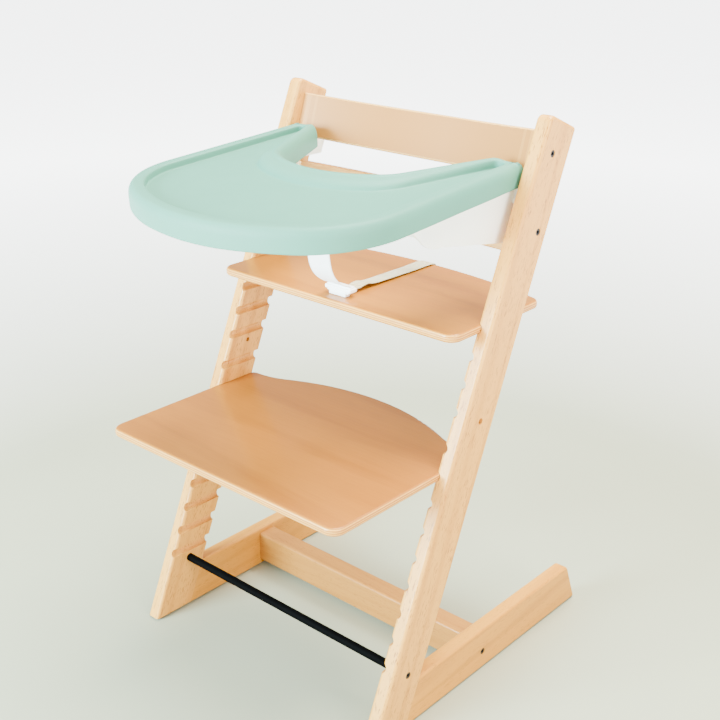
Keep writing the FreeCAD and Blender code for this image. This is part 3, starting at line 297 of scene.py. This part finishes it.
STILE_BEECH = beech("beech_stile", LEANING_TO_Z, (0.72, 0.335, 0.055, 1),
                    (0.58, 0.240, 0.030, 1))
LEG_BEECH = beech("beech_leg", BACK_TO_Z, (0.64, 0.270, 0.022, 1),
                  (0.52, 0.205, 0.014, 1), 0.4)
BAR_BEECH = beech("beech_bar", ACROSS_TO_Z, (0.46, 0.185, 0.026, 1),
                  (0.38, 0.138, 0.017, 1), 0.4, 1.6)
SEAT_PLY = plate_ply("ply_seat", SEAT_TOP - PLATE_THICK, (0.41, 0.150, 0.009, 1),
                     (0.34, 0.113, 0.006, 1))
FOOT_PLY = plate_ply("ply_foot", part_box("foot_plate")[0].z,
                     (0.43, 0.146, 0.011, 1), (0.35, 0.110, 0.007, 1))
# The upper board's colours are its veneer tone plus a painted highlight: lighter than the
# lower board to stand in for the gloss highlight on it.
UPPER_PLY = board_ply("ply_upper", "upper_backrest", 18, (0.95, 0.60, 0.18, 1),
                      (0.80, 0.44, 0.095, 1))
LOWER_PLY = board_ply("ply_lower", "lower_backrest", 9, (0.68, 0.30, 0.045, 1),
                      (0.55, 0.22, 0.025, 1))

dress(["left_stile", "right_stile"], STILE_BEECH)
dress(["left_floor_leg", "right_floor_leg"], LEG_BEECH)
dress(["cross_bar", "leg_dowels"], BAR_BEECH)
dress(["seat_plate"], SEAT_PLY)
dress(["foot_plate"], FOOT_PLY)
dress(["upper_backrest"], UPPER_PLY)
dress(["lower_backrest"], LOWER_PLY)
dress(["foot_rod"], ROD_BLACK)
dress(["backrest_bolts", "rod_bolts", "cross_bar_bolts"], BOLT_BLACK)
dress(["backrest_nuts", "cross_bar_nuts", "rail_pins"], ZINC)
dress(["front_gliders", "rear_gliders"], GLIDER_BLACK)
dress(["tray_shell"], TRAY_WHITE)
dress(["left_side_panel", "right_side_panel", "front_rail"], PANEL_CREAM)


# --- mesh helpers -----------------------------------------------------------------------

def add_piece(name, mesh, material, body, node=None):
    """Link a finished mesh as a piece of the object."""
    for face in mesh.polygons:
        face.use_smooth = True
    piece = bpy.data.objects.new(name, mesh)
    SCENE.collection.objects.link(piece)
    mesh.materials.append(material)
    if body:
        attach(piece, body)
    if node:
        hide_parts(node)
    return piece


def to_mesh(shape, name):
    """A mesh from a bmesh, which is freed, with its faces turned outwards."""
    bmesh.ops.recalc_face_normals(shape, faces=shape.faces)
    mesh = bpy.data.meshes.new(name)
    shape.to_mesh(mesh)
    shape.free()
    return mesh


def loft(shape, rings):
    """Faces between closed rings of points. Returns the first and last rings' vertices."""
    made = [[shape.verts.new(point) for point in ring] for ring in rings]
    for near, far in zip(made, made[1:]):
        for index in range(len(near)):
            after = (index + 1) % len(near)
            shape.faces.new((near[index], near[after], far[after], far[index]))
    return made[0], made[-1]


# --- silicone tray cover ----------------------------------------------------------------

# Plans of the rim's outside, the well's edge and the rim's crest, in millimetres and degrees.
TRAY = dict(front=184.0, half=207.0, nose=276.0, cheek=130.0, horn_half=203.5,
            horn_end=219.5, horn_corner=4.5, horn_tip=18.0, bay_front=48.0,
            bay_radius=160.0, bay_corner=46.0, spread=32.0, angle=66.0)
WELL = dict(front=162.0, half=185.0, nose=254.0, cheek=108.0, horn_half=183.5,
            horn_end=205.0, horn_corner=6.0, horn_tip=7.0, bay_front=9.0,
            bay_radius=185.0, bay_corner=75.0, spread=30.0, angle=72.0)
CREST = {part: value + 1.0 for part, value in WELL.items()}
CREST.update(bay_front=34.0, bay_radius=174.0, bay_corner=60.0, spread=32.0, angle=66.0)
CHEEK_START = -32.0          # Y where the straight sides begin
SWELL = 3.2                  # the rim beside the waist bay stands this much higher
RIM_ROUND = 9.0              # how far the outer rounding of the rim reaches in
RIM_RISE = 14.0              # and how high it is
RIM_FOOT = -4.0              # the height it starts from
SKIN_GAP = 2.2               # thickness of the skirt
SKIN_ROUND = 5.8             # rounding of the inner skin under the rim
SLOT_MIDDLE = (0.1935, 0.214, -0.009)
SLOT_SIZE = (0.0052, 0.020, 0.027)
HOLLOW_SIDES = ("bay_radius", "bay_corner")
ANGLES = ("spread", "angle")


def moved(plan, inset):
    """A plan whose whole outline is moved in by the same distance."""
    sizes = {}
    for part, value in plan.items():
        if part in ANGLES:
            sizes[part] = value
        else:
            sizes[part] = value + inset if part in HOLLOW_SIDES else value - inset
    return sizes


def arc_points(start, end, radius, bulge, count):
    """Points along the shorter arc from start, without its end."""
    chord = end - start
    middle = (start + end) / 2
    right = Vector((chord.y, -chord.x)).normalized()
    height = math.sqrt(max(radius ** 2 - chord.length_squared / 4, 0))
    centre = middle - right * bulge * height
    first = start - centre
    turn = first.angle_signed(end - centre)
    return [centre + Matrix.Rotation(-turn * step / count, 2) @ first
            for step in range(count)]


def tray_ring(plan, inset):
    """The outline of the tray's plan as evenly matched points, in millimetres."""
    p = moved(plan, inset)
    share = p["nose"] / (p["nose"] - p["cheek"])
    nose_centre = p["nose"] - p["front"]
    turn, slope = math.radians(p["spread"]), math.radians(p["angle"])
    side = Vector((p["bay_radius"] * math.sin(turn),
                   p["bay_front"] + p["bay_radius"] * (1 - math.cos(turn))))
    corner = side + p["bay_corner"] * Vector((math.sin(slope) - math.sin(turn),
                                              math.cos(turn) - math.cos(slope)))
    tip = corner.x + (p["horn_end"] - corner.y) / math.tan(slope)
    trim = p["horn_tip"] * math.tan(slope / 2)
    right = [
        Vector(((p["half"] - p["cheek"]) * share,
                nose_centre - (nose_centre - CHEEK_START) * share)),
        Vector((p["half"], CHEEK_START)),
        Vector((p["horn_half"], p["horn_end"] - p["horn_corner"])),
        Vector((p["horn_half"] - p["horn_corner"], p["horn_end"])),
        Vector((tip + trim, p["horn_end"])),
        Vector((tip - trim * math.cos(slope), p["horn_end"] - trim * math.sin(slope))),
        corner,
        side,
    ]
    corners = right + [Vector((-point.x, point.y)) for point in reversed(right)]
    # An arc is its radius, which way it bulges and its number of points, and a line
    # its number of points. Both are numbered by the corner that they start from.
    cheek = (p["cheek"], 1, 26)
    horn = (p["horn_corner"], 1, 10)
    tip_arc = (p["horn_tip"], 1, 14)
    bend = (p["bay_corner"], -1, 18)
    arcs = {0: cheek, 2: horn, 4: tip_arc, 6: bend, 7: (p["bay_radius"], -1, 44),
            8: bend, 10: tip_arc, 12: horn, 14: cheek, 15: (p["nose"], 1, 48)}
    lines = {1: 26, 3: 4, 5: 14, 9: 14, 11: 4, 13: 26}
    points = []
    for index, start in enumerate(corners):
        end = corners[(index + 1) % len(corners)]
        if index in arcs:
            radius, bulge, count = arcs[index]
            points += arc_points(start, end, radius, bulge, count)
        else:
            count = lines[index]
            points += [start.lerp(end, step / count) for step in range(count)]
    return points


def smooth(value, low, high):
    """0 below low, 1 above high, and an even change between them."""
    share = min(max((value - low) / (high - low), 0.0), 1.0)
    return share * share * (3 - 2 * share)


def at_height(points, height, sag=0.0, swell=0.0):
    """Ring points at one height of the tray's frame, with a soft unevenness.

    swell is how much higher than elsewhere the rim round the waist bay stands.
    """
    ring = []
    for point in points:
        drift = noise.noise(Vector((point.x, point.y, height)) * 0.013) * sag
        by_bay = smooth(point.y, -2, 16) * (1 - smooth(abs(point.x), 158, 182))
        rise = swell * by_bay * max(height, 0.0) / 10
        ring.append(Vector((point.x, point.y, height + drift + rise)) / 1000)
    return ring


def between(first, second, share):
    """Points that lie a share of the way from one outline to another."""
    return [a.lerp(b, share) for a, b in zip(first, second)]


def cover_rings():
    """Outer skin from the skirt's lip to the tray floor, then the inner skin back."""
    crest, well = tray_ring(CREST, 0), tray_ring(WELL, 0)
    outer = [at_height(tray_ring(TRAY, 1.4), -20.0, 0.7),
             at_height(tray_ring(TRAY, 0.5), -19.9, 0.7),
             at_height(tray_ring(TRAY, 0.1), -19.3, 0.7),
             at_height(tray_ring(TRAY, 0.0), -18.0, 0.6),
             at_height(tray_ring(TRAY, 0.0), -12.0, 0.3),
             at_height(tray_ring(TRAY, 0.0), -6.0)]
    for step in range(1, 11):
        angle = math.pi / 2 * step / 10
        outer.append(at_height(tray_ring(TRAY, RIM_ROUND * (1 - math.cos(angle))),
                               RIM_FOOT + RIM_RISE * math.sin(angle), 0.0, SWELL))
    outer += [at_height(tray_ring(CREST, -3.0), 10.0, 0.0, SWELL),
              at_height(tray_ring(CREST, -1.6), 9.8, 0.0, SWELL),
              at_height(tray_ring(CREST, -0.5), 9.2, 0.0, SWELL)]
    for share, height in ((0.08, 8.75), (0.22, 8.4), (0.40, 7.8), (0.58, 6.9),
                          (0.74, 5.6), (0.87, 4.0), (0.95, 2.5), (1.0, 1.2)):
        outer.append(at_height(between(crest, well, share), height, 0.0, SWELL))
    outer += [at_height(tray_ring(WELL, 0.8), 0.45),
              at_height(tray_ring(WELL, 2.4), 0.1),
              at_height(tray_ring(WELL, 5.0), 0.0)]
    inner = [at_height(tray_ring(WELL, -2.3), -2.2),
             at_height(tray_ring(CREST, -2.3), 7.8),
             at_height(tray_ring(TRAY, 8.0), 7.8)]
    for step in range(1, 6):
        angle = math.pi / 2 * (1 - step / 5)
        inner.append(at_height(tray_ring(TRAY, 8.0 - SKIN_ROUND * math.cos(angle)),
                               2.0 + SKIN_ROUND * math.sin(angle)))
    inner += [at_height(tray_ring(TRAY, SKIN_GAP), -12.0),
              at_height(tray_ring(TRAY, SKIN_GAP), -19.2)]
    return outer, inner


def make_cover():
    """The cover's mesh without its slots, and its place on the chair."""
    outer, inner = cover_rings()
    shape = bmesh.new()
    lip_out, floor_out = loft(shape, outer)
    floor_in, lip_in = loft(shape, inner)
    for index in range(len(lip_out)):
        after = (index + 1) % len(lip_out)
        shape.faces.new((lip_in[index], lip_in[after], lip_out[after], lip_out[index]))
    for ring in (floor_out, floor_in):
        edges = [shape.edges.get((vert, ring[(index + 1) % len(ring)]))
                 for index, vert in enumerate(ring)]
        bmesh.ops.triangle_fill(shape, edges=edges, use_beauty=True)
    mesh = to_mesh(shape, "silicone_tray_cover_soft")
    place = Matrix.Translation(TRAY_PLACE) @ Matrix.Rotation(TRAY_SLOPE, 4, "X")
    mesh.transform(place)
    return mesh, place


def slot_cutter(place):
    """The two slots in the horns' ends that let the side panels through."""
    shape = bmesh.new()
    for side in (-1, 1):
        middle = Vector((SLOT_MIDDLE[0] * side, *SLOT_MIDDLE[1:]))
        bmesh.ops.create_cube(shape, size=1.0, matrix=place @ Matrix.Translation(middle)
                              @ Matrix.Diagonal((*SLOT_SIZE, 1)))
    cutter = bpy.data.objects.new("slot_cutter", to_mesh(shape, "slot_cutter"))
    SCENE.collection.objects.link(cutter)
    return cutter


def baked(mesh, cutter):
    """The mesh with the cutter taken away, as a mesh of its own."""
    blank = bpy.data.objects.new("blank", mesh)
    SCENE.collection.objects.link(blank)
    cut = blank.modifiers.new("slots", "BOOLEAN")
    cut.operation = "DIFFERENCE"
    cut.object = cutter
    cut.solver = "EXACT"
    graph = bpy.context.evaluated_depsgraph_get()
    result = bpy.data.meshes.new_from_object(blank.evaluated_get(graph))
    bpy.data.objects.remove(blank)
    bpy.data.objects.remove(cutter)
    return result


cover_mesh, cover_place = make_cover()
cover_mesh = baked(cover_mesh, slot_cutter(cover_place))
cover_mesh.materials.clear()
add_piece("silicone_cover", cover_mesh, SILICONE, "cover", "silicone_tray_cover")


# --- strap, webbing and clip --------------------------------------------------------------

STRAP_THICK = 0.0018
STRAP_WIDE = 0.0415
STITCH_ROW = 0.0182          # from the strap's middle line to its two rows of stitches
STITCH_HALF = 0.0004
WEB_THICK = 0.0016
WEB_WIDE = 0.0248
WEB_TOP_PART = 0.190         # length of the webbing on top of the seat
RIB_PITCH = 0.0042           # from one woven rib of the webbing to the next
THREAD_PITCH = 0.0011
PICK_PITCH = 0.0009
SLACK_LENGTH = 0.060         # the webbing waves this far behind the clip
SLACK_WAVE = 0.013
LIE = 0.0003                 # gap between the seat and what lies on it
CLIP_FRONT = 0.184           # depth of the clip's front and rear behind the foot line
CLIP_REAR = 0.200


def smooth_route(points, count):
    """Evenly spaced points on a smooth curve through route points."""
    curve = bpy.data.curves.new("route", "CURVE")
    curve.dimensions = "3D"
    spline = curve.splines.new("BEZIER")
    spline.bezier_points.add(len(points) - 1)
    for knot, point in zip(spline.bezier_points, points):
        knot.co = point
        knot.handle_left_type = knot.handle_right_type = "AUTO"
    curve.resolution_u = 24
    guide = bpy.data.objects.new("route", curve)
    mesh = bpy.data.meshes.new_from_object(guide)
    line = [vertex.co.copy() for vertex in mesh.vertices]
    bpy.data.objects.remove(guide)
    bpy.data.meshes.remove(mesh)
    lengths = [0.0]
    for near, far in zip(line, line[1:]):
        lengths.append(lengths[-1] + (far - near).length)
    even = []
    index = 0
    for step in range(count):
        wanted = lengths[-1] * step / (count - 1)
        while index < len(line) - 2 and lengths[index + 1] < wanted:
            index += 1
        span = lengths[index + 1] - lengths[index]
        even.append(line[index].lerp(line[index + 1], (wanted - lengths[index]) / span))
    return even, lengths[-1]


def band_mesh(name, route, width, thick, profile, ripple=None, lean=None):
    """A flat band along a route in the YZ plane, with a rounded section.

    profile gives the band's height over its middle plane across its width,
    ripple the same along it, and lean both together.
    """
    across = 16
    shape = bmesh.new()
    rings = []
    for index, point in enumerate(route):
        before = route[max(index - 1, 0)]
        after = route[min(index + 1, len(route) - 1)]
        along = (after - before).normalized()
        up = Vector((0, -along.z, along.y))
        lift = ripple(index) if ripple else 0.0
        ring = []
        for face in (1, -1):
            for step in range(across + 1):
                share = step / across * 2 - 1
                edge = math.sqrt(max(1 - abs(share) ** 14, 0.0))
                height = thick / 2 * edge * face + profile(share) + lift
                if lean:
                    height += lean(index, share * face)
                ring.append(point + Vector((share * width / 2 * face, 0, 0)) + up * height)
        rings.append(ring)
    first, last = loft(shape, rings)
    shape.faces.new(first)
    shape.faces.new(last)
    bmesh.ops.remove_doubles(shape, verts=shape.verts, dist=0.00001)
    return to_mesh(shape, name)


def depth_points(pairs):
    """Route points given as depth behind the foot line and height, in millimetres."""
    return [Vector((0, FOOT_LINE + depth / 1000, height / 1000)) for depth, height in pairs]


def strap_material():
    """White woven strap with a row of stitches along each edge."""
    cloth = Shader("strap_white", Roughness=0.46, Specular_IOR_Level=0.4, Sheen_Weight=0.1)
    at = cloth.node("ShaderNodeSeparateXYZ", {"Vector": cloth.place})
    edge = cloth.math("ABSOLUTE", at.outputs["X"])
    seam = cloth.math("GREATER_THAN", cloth.math("SINE", cloth.math(
        "MULTIPLY", cloth.math("ADD", at.outputs["Z"], at.outputs["Y"]), 2200.0)), -0.2)
    row = cloth.math("LESS_THAN", cloth.math(
        "ABSOLUTE", cloth.math("SUBTRACT", edge, STITCH_ROW)), STITCH_HALF)
    stitches = cloth.math("MULTIPLY", seam, row)
    grain = cloth.noise(cloth.place, 900.0, 3.0)
    thread = cloth.math("MULTIPLY", stitches, 0.3)
    cloud = cloth.ramp(cloth.noise(cloth.place, 30.0), (0.3, 0.0), (0.7, 1.0))
    base = cloth.mix(cloud, srgb(250, 250, 250), srgb(244, 245, 246))
    colour = cloth.mix(thread, base, srgb(214, 216, 218))
    height = cloth.math("SUBTRACT", grain, cloth.math("MULTIPLY", row, 1.5))
    return cloth.finish(colour, 0.46, cloth.bump(height, 0.25, 0.0002))


def webbing_material():
    """Beige ribbed webbing with painted shade in the grooves between its ribs."""
    cloth = Shader("webbing_beige", Specular_IOR_Level=0.2, Sheen_Weight=0.4,
                   Sheen_Roughness=0.4)
    at = cloth.node("ShaderNodeSeparateXYZ", {"Vector": cloth.place})
    ribs, threads, picks = (
        cloth.math("SINE", cloth.math("MULTIPLY", at.outputs[axis], math.tau / pitch))
        for axis, pitch in (("Y", RIB_PITCH), ("X", THREAD_PITCH), ("Y", PICK_PITCH)))
    weave = cloth.math("MULTIPLY", threads, picks)
    cloud = cloth.noise(cloth.place, 45.0, 3.0)
    base = cloth.mix(cloth.ramp(cloud, (0.3, 0.0), (0.7, 1.0)),
                     (0.66, 0.60, 0.40, 1), (0.58, 0.52, 0.33, 1))
    # painted shade: the colour darkens in the grooves between the ribs
    shade = cloth.math("MULTIPLY", cloth.math("SUBTRACT", 0.35, ribs), 0.5, clamp=True)
    colour = cloth.mix(shade, base, (0.30, 0.24, 0.12, 1))
    height = cloth.math("ADD", ribs, cloth.math("MULTIPLY", weave, 0.35))
    return cloth.finish(colour, 0.85, cloth.bump(height, 0.5, 0.0004))


def flat_profile(share):
    """No bow across the band."""
    return 0.0


def strap_bow(share):
    """The strap's middle stands a little proud of its edges."""
    return 0.0009 * (1 - share * share)


ROUND_RAIL = [(143, 669), (142, 677.0), (132, 677.4), (122, 677.0), (121, 668),
              (122, 659.0), (132, 658.6), (140.5, 659.0)]
STRAP_DOWN = [(141.0, 657.0), (144.5, 636), (146.5, 612), (149, 593), (154, 575),
              (163, 561.5), (174, 552.5), (184, 547.6), (191, 545.5)]
strap_points = depth_points(STRAP_DOWN)
strap_route, strap_length = smooth_route(strap_points, 90)
strap_mesh = band_mesh("crotch_strap_soft", strap_route, STRAP_WIDE, STRAP_THICK, strap_bow)
STRAP_WHITE = strap_material()
strap = add_piece("crotch_strap_soft", strap_mesh, STRAP_WHITE, None, "crotch_strap")

loop_route, loop_length = smooth_route(depth_points(ROUND_RAIL), 60)
loop_mesh = band_mesh("strap_loop_soft", loop_route, STRAP_WIDE, STRAP_THICK, flat_profile)
strap_loop = add_piece("strap_loop_soft", loop_mesh, STRAP_WHITE, "chair", None)

# Heights of the webbing's middle plane over and under the seat, and the seat's rear edge.
web_up = (SEAT_TOP + LIE + WEB_THICK / 2) * 1000
web_under = web_up - PLATE_THICK * 1000 - 2 * LIE * 1000 - WEB_THICK * 1000
rear = (SEAT_REAR - FOOT_LINE) * 1000
WEB_DOWN = [(197, web_up + 0.5), (203, web_up + 1.6), (212, web_up + 2.2),
            (224, web_up + 3.4), (235, web_up + 5.0), (243, web_up + 3.2),
            (252, web_up + 1.9), (270, web_up + 1.4), (300, web_up + 1.0),
            (340, web_up + 0.6), (rear - 7, web_up + 0.3), (rear - 1.0, web_up - 1.2),
            (rear + 1.4, web_up - 4.6), (rear + 1.4, web_under + 4.6),
            (rear - 0.5, web_under + 1.2), (rear - 6, web_under), (352, web_under),
            (331, web_under)]
web_route, web_length = smooth_route(depth_points(WEB_DOWN), 420)


def web_ripple(index):
    """Woven ribs over the whole band, and slack waves beside the clip."""
    along = web_length * index / (len(web_route) - 1)
    slack = max(0.0, 1 - along / SLACK_LENGTH)
    return (0.00022 * math.sin(along * math.tau / RIB_PITCH)
            + 0.0006 * slack * math.sin(along * math.tau / SLACK_WAVE))


def web_lift(index, share):
    """How much higher the right edge lies than the left one, on top of the seat."""
    along = web_length * index / (len(web_route) - 1)
    rise = 0.0013 * max(0.0, 1 - along / WEB_TOP_PART)
    return rise * (share + 1) - 0.3 * rise


web_mesh = band_mesh("seat_webbing_soft", web_route, WEB_WIDE, WEB_THICK * 0.8,
                     flat_profile, web_ripple, web_lift)
webbing = add_piece("seat_webbing_soft", web_mesh, webbing_material(), "seat",
                    "seat_webbing")


# The clip's blocks from the foot up: half the width, how far the front and the rear
# lie inside the clip's own, the lower and upper height, and the rounding of the edges.
CLIP_BLOCKS = ((0.0152, 0.0004, 0.0065, 0.0, 0.0075, 0.0012),
               (0.0195, 0.0012, 0.0006, 0.0042, 0.0098, 0.0014),
               (0.0233, 0.0006, 0.0002, 0.0064, 0.0122, 0.0018),
               (0.0214, 0.0030, 0.0020, 0.0092, 0.0144, 0.0016))


def clip_mesh():
    """The white clip: a narrow foot under a wider body with stepped ends."""
    shape = bmesh.new()
    low = SEAT_TOP + LIE
    for half, from_front, from_rear, z0, z1, soft in CLIP_BLOCKS:
        y0, y1 = FOOT_LINE + CLIP_FRONT + from_front, FOOT_LINE + CLIP_REAR - from_rear
        middle = Vector((0, (y0 + y1) / 2, low + (z0 + z1) / 2))
        made = bmesh.ops.create_cube(shape, size=1.0, matrix=Matrix.Translation(middle)
                                     @ Matrix.Diagonal((half * 2, y1 - y0, z1 - z0, 1)))
        edges = {edge for vert in made["verts"] for edge in vert.link_edges}
        bmesh.ops.bevel(shape, geom=list(edges), offset=soft, segments=5, profile=0.5,
                        affect="EDGES")
    return to_mesh(shape, "strap_clip_soft")


add_piece("strap_clip_detail", clip_mesh(), CLIP_WHITE, "seat", "strap_clip")

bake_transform(strap)


# --- floor, light and camera --------------------------------------------------------------

FLOOR_REACH = 14.0
FLOOR_FADE = 4.0             # by this distance the floor has faded to its far colour
FLOOR_GLOW = 4.5
CAMERA_PLACE = (1.01944, -1.12281, 1.05190)
CAMERA_ANGLES = (41.494, -22.301, 0.253)     # yaw, pitch and roll, in degrees
CAMERA_LENS = 58.30          # with the 36 mm sensor, as fitted to the photograph


def make_floor():
    """A pale floor that brightens far away, so that it needs no horizon."""
    shape = bmesh.new()
    corners = [shape.verts.new((x * FLOOR_REACH, y * FLOOR_REACH, 0.0)) for x, y in
               ((-1, -1), (1, -1), (1, 1), (-1, 1))]
    shape.faces.new(corners)
    mesh = to_mesh(shape, "floor")
    floor = bpy.data.objects.new("floor", mesh)
    SCENE.collection.objects.link(floor)
    pale = Shader("floor_pale", Specular_IOR_Level=0.35)
    at = pale.node("ShaderNodeSeparateXYZ", {"Vector": pale.place})
    squares = [pale.math("POWER", at.outputs[axis], 2.0) for axis in "XY"]
    away = pale.math("SQRT", pale.math("ADD", *squares))
    cloud = pale.noise(pale.place, 3.0, 4.0)
    near = pale.mix(pale.ramp(cloud, (0.3, 0.0), (0.7, 1.0)),
                    (0.385, 0.405, 0.280, 1), (0.370, 0.390, 0.270, 1))
    share = pale.math("DIVIDE", away, FLOOR_FADE)
    far = pale.mix(pale.ramp(share, (0.2, 0.0), (0.8, 1.0)), near, (0.94, 0.95, 0.95, 1))
    glow = pale.ramp(share, (0.22, 0.0), (0.85, 1.0))
    pale.put((0.98, 1.0, 1.0, 1), pale.surface.inputs["Emission Color"])
    pale.put(pale.math("MULTIPLY", glow, FLOOR_GLOW),
             pale.surface.inputs["Emission Strength"])
    mesh.materials.append(pale.finish(far, 0.42))


def area_light(name, place, target, size, energy, colour):
    """A round soft light that faces a target."""
    light = bpy.data.lights.new(name, "AREA")
    light.shape = "DISK"
    light.size = size
    light.energy = energy
    light.color = colour
    lamp = bpy.data.objects.new(name, light)
    SCENE.collection.objects.link(lamp)
    lamp.location = place
    lamp.rotation_mode = "QUATERNION"
    lamp.rotation_quaternion = (Vector(target) - Vector(place)).to_track_quat("-Z", "Y")


def make_light():
    """A cool window from the front, a warm ceiling and side fill, and an even sky."""
    area_light("window", (-0.9, -3.0, 1.25), (0, 0, 0.50), 1.7, 700.0, (0.66, 0.90, 1.0))
    area_light("ceiling", (0.3, 0.6, 3.2), (0, 0, 0.3), 2.4, 470.0, (1.0, 0.98, 0.90))
    area_light("room", (2.9, -0.7, 1.2), (0, 0, 0.4), 1.6, 150.0, (1.0, 0.96, 0.90))
    world = bpy.data.worlds.new("studio")
    world.use_nodes = True
    background = world.node_tree.nodes["Background"]
    background.inputs["Color"].default_value = (0.97, 0.99, 1.0, 1)
    background.inputs["Strength"].default_value = 1.0
    SCENE.world = world


def make_camera():
    """The camera at the place and angle that were fitted to the photograph."""
    yaw, pitch, roll = (math.radians(angle) for angle in CAMERA_ANGLES)
    forward = Vector((-math.sin(yaw) * math.cos(pitch), math.cos(yaw) * math.cos(pitch),
                      math.sin(pitch)))
    level = Vector((math.cos(yaw), math.sin(yaw), 0))
    upward = level.cross(forward)
    right = level * math.cos(roll) + upward * math.sin(roll)
    up = upward * math.cos(roll) - level * math.sin(roll)
    data = bpy.data.cameras.new("camera")
    data.sensor_width = 36.0
    data.lens = CAMERA_LENS
    camera = bpy.data.objects.new("camera", data)
    axes = Matrix((right, up, -forward)).transposed().to_4x4()
    camera.matrix_world = Matrix.Translation(CAMERA_PLACE) @ axes
    SCENE.collection.objects.link(camera)
    SCENE.camera = camera


make_floor()
make_light()
make_camera()
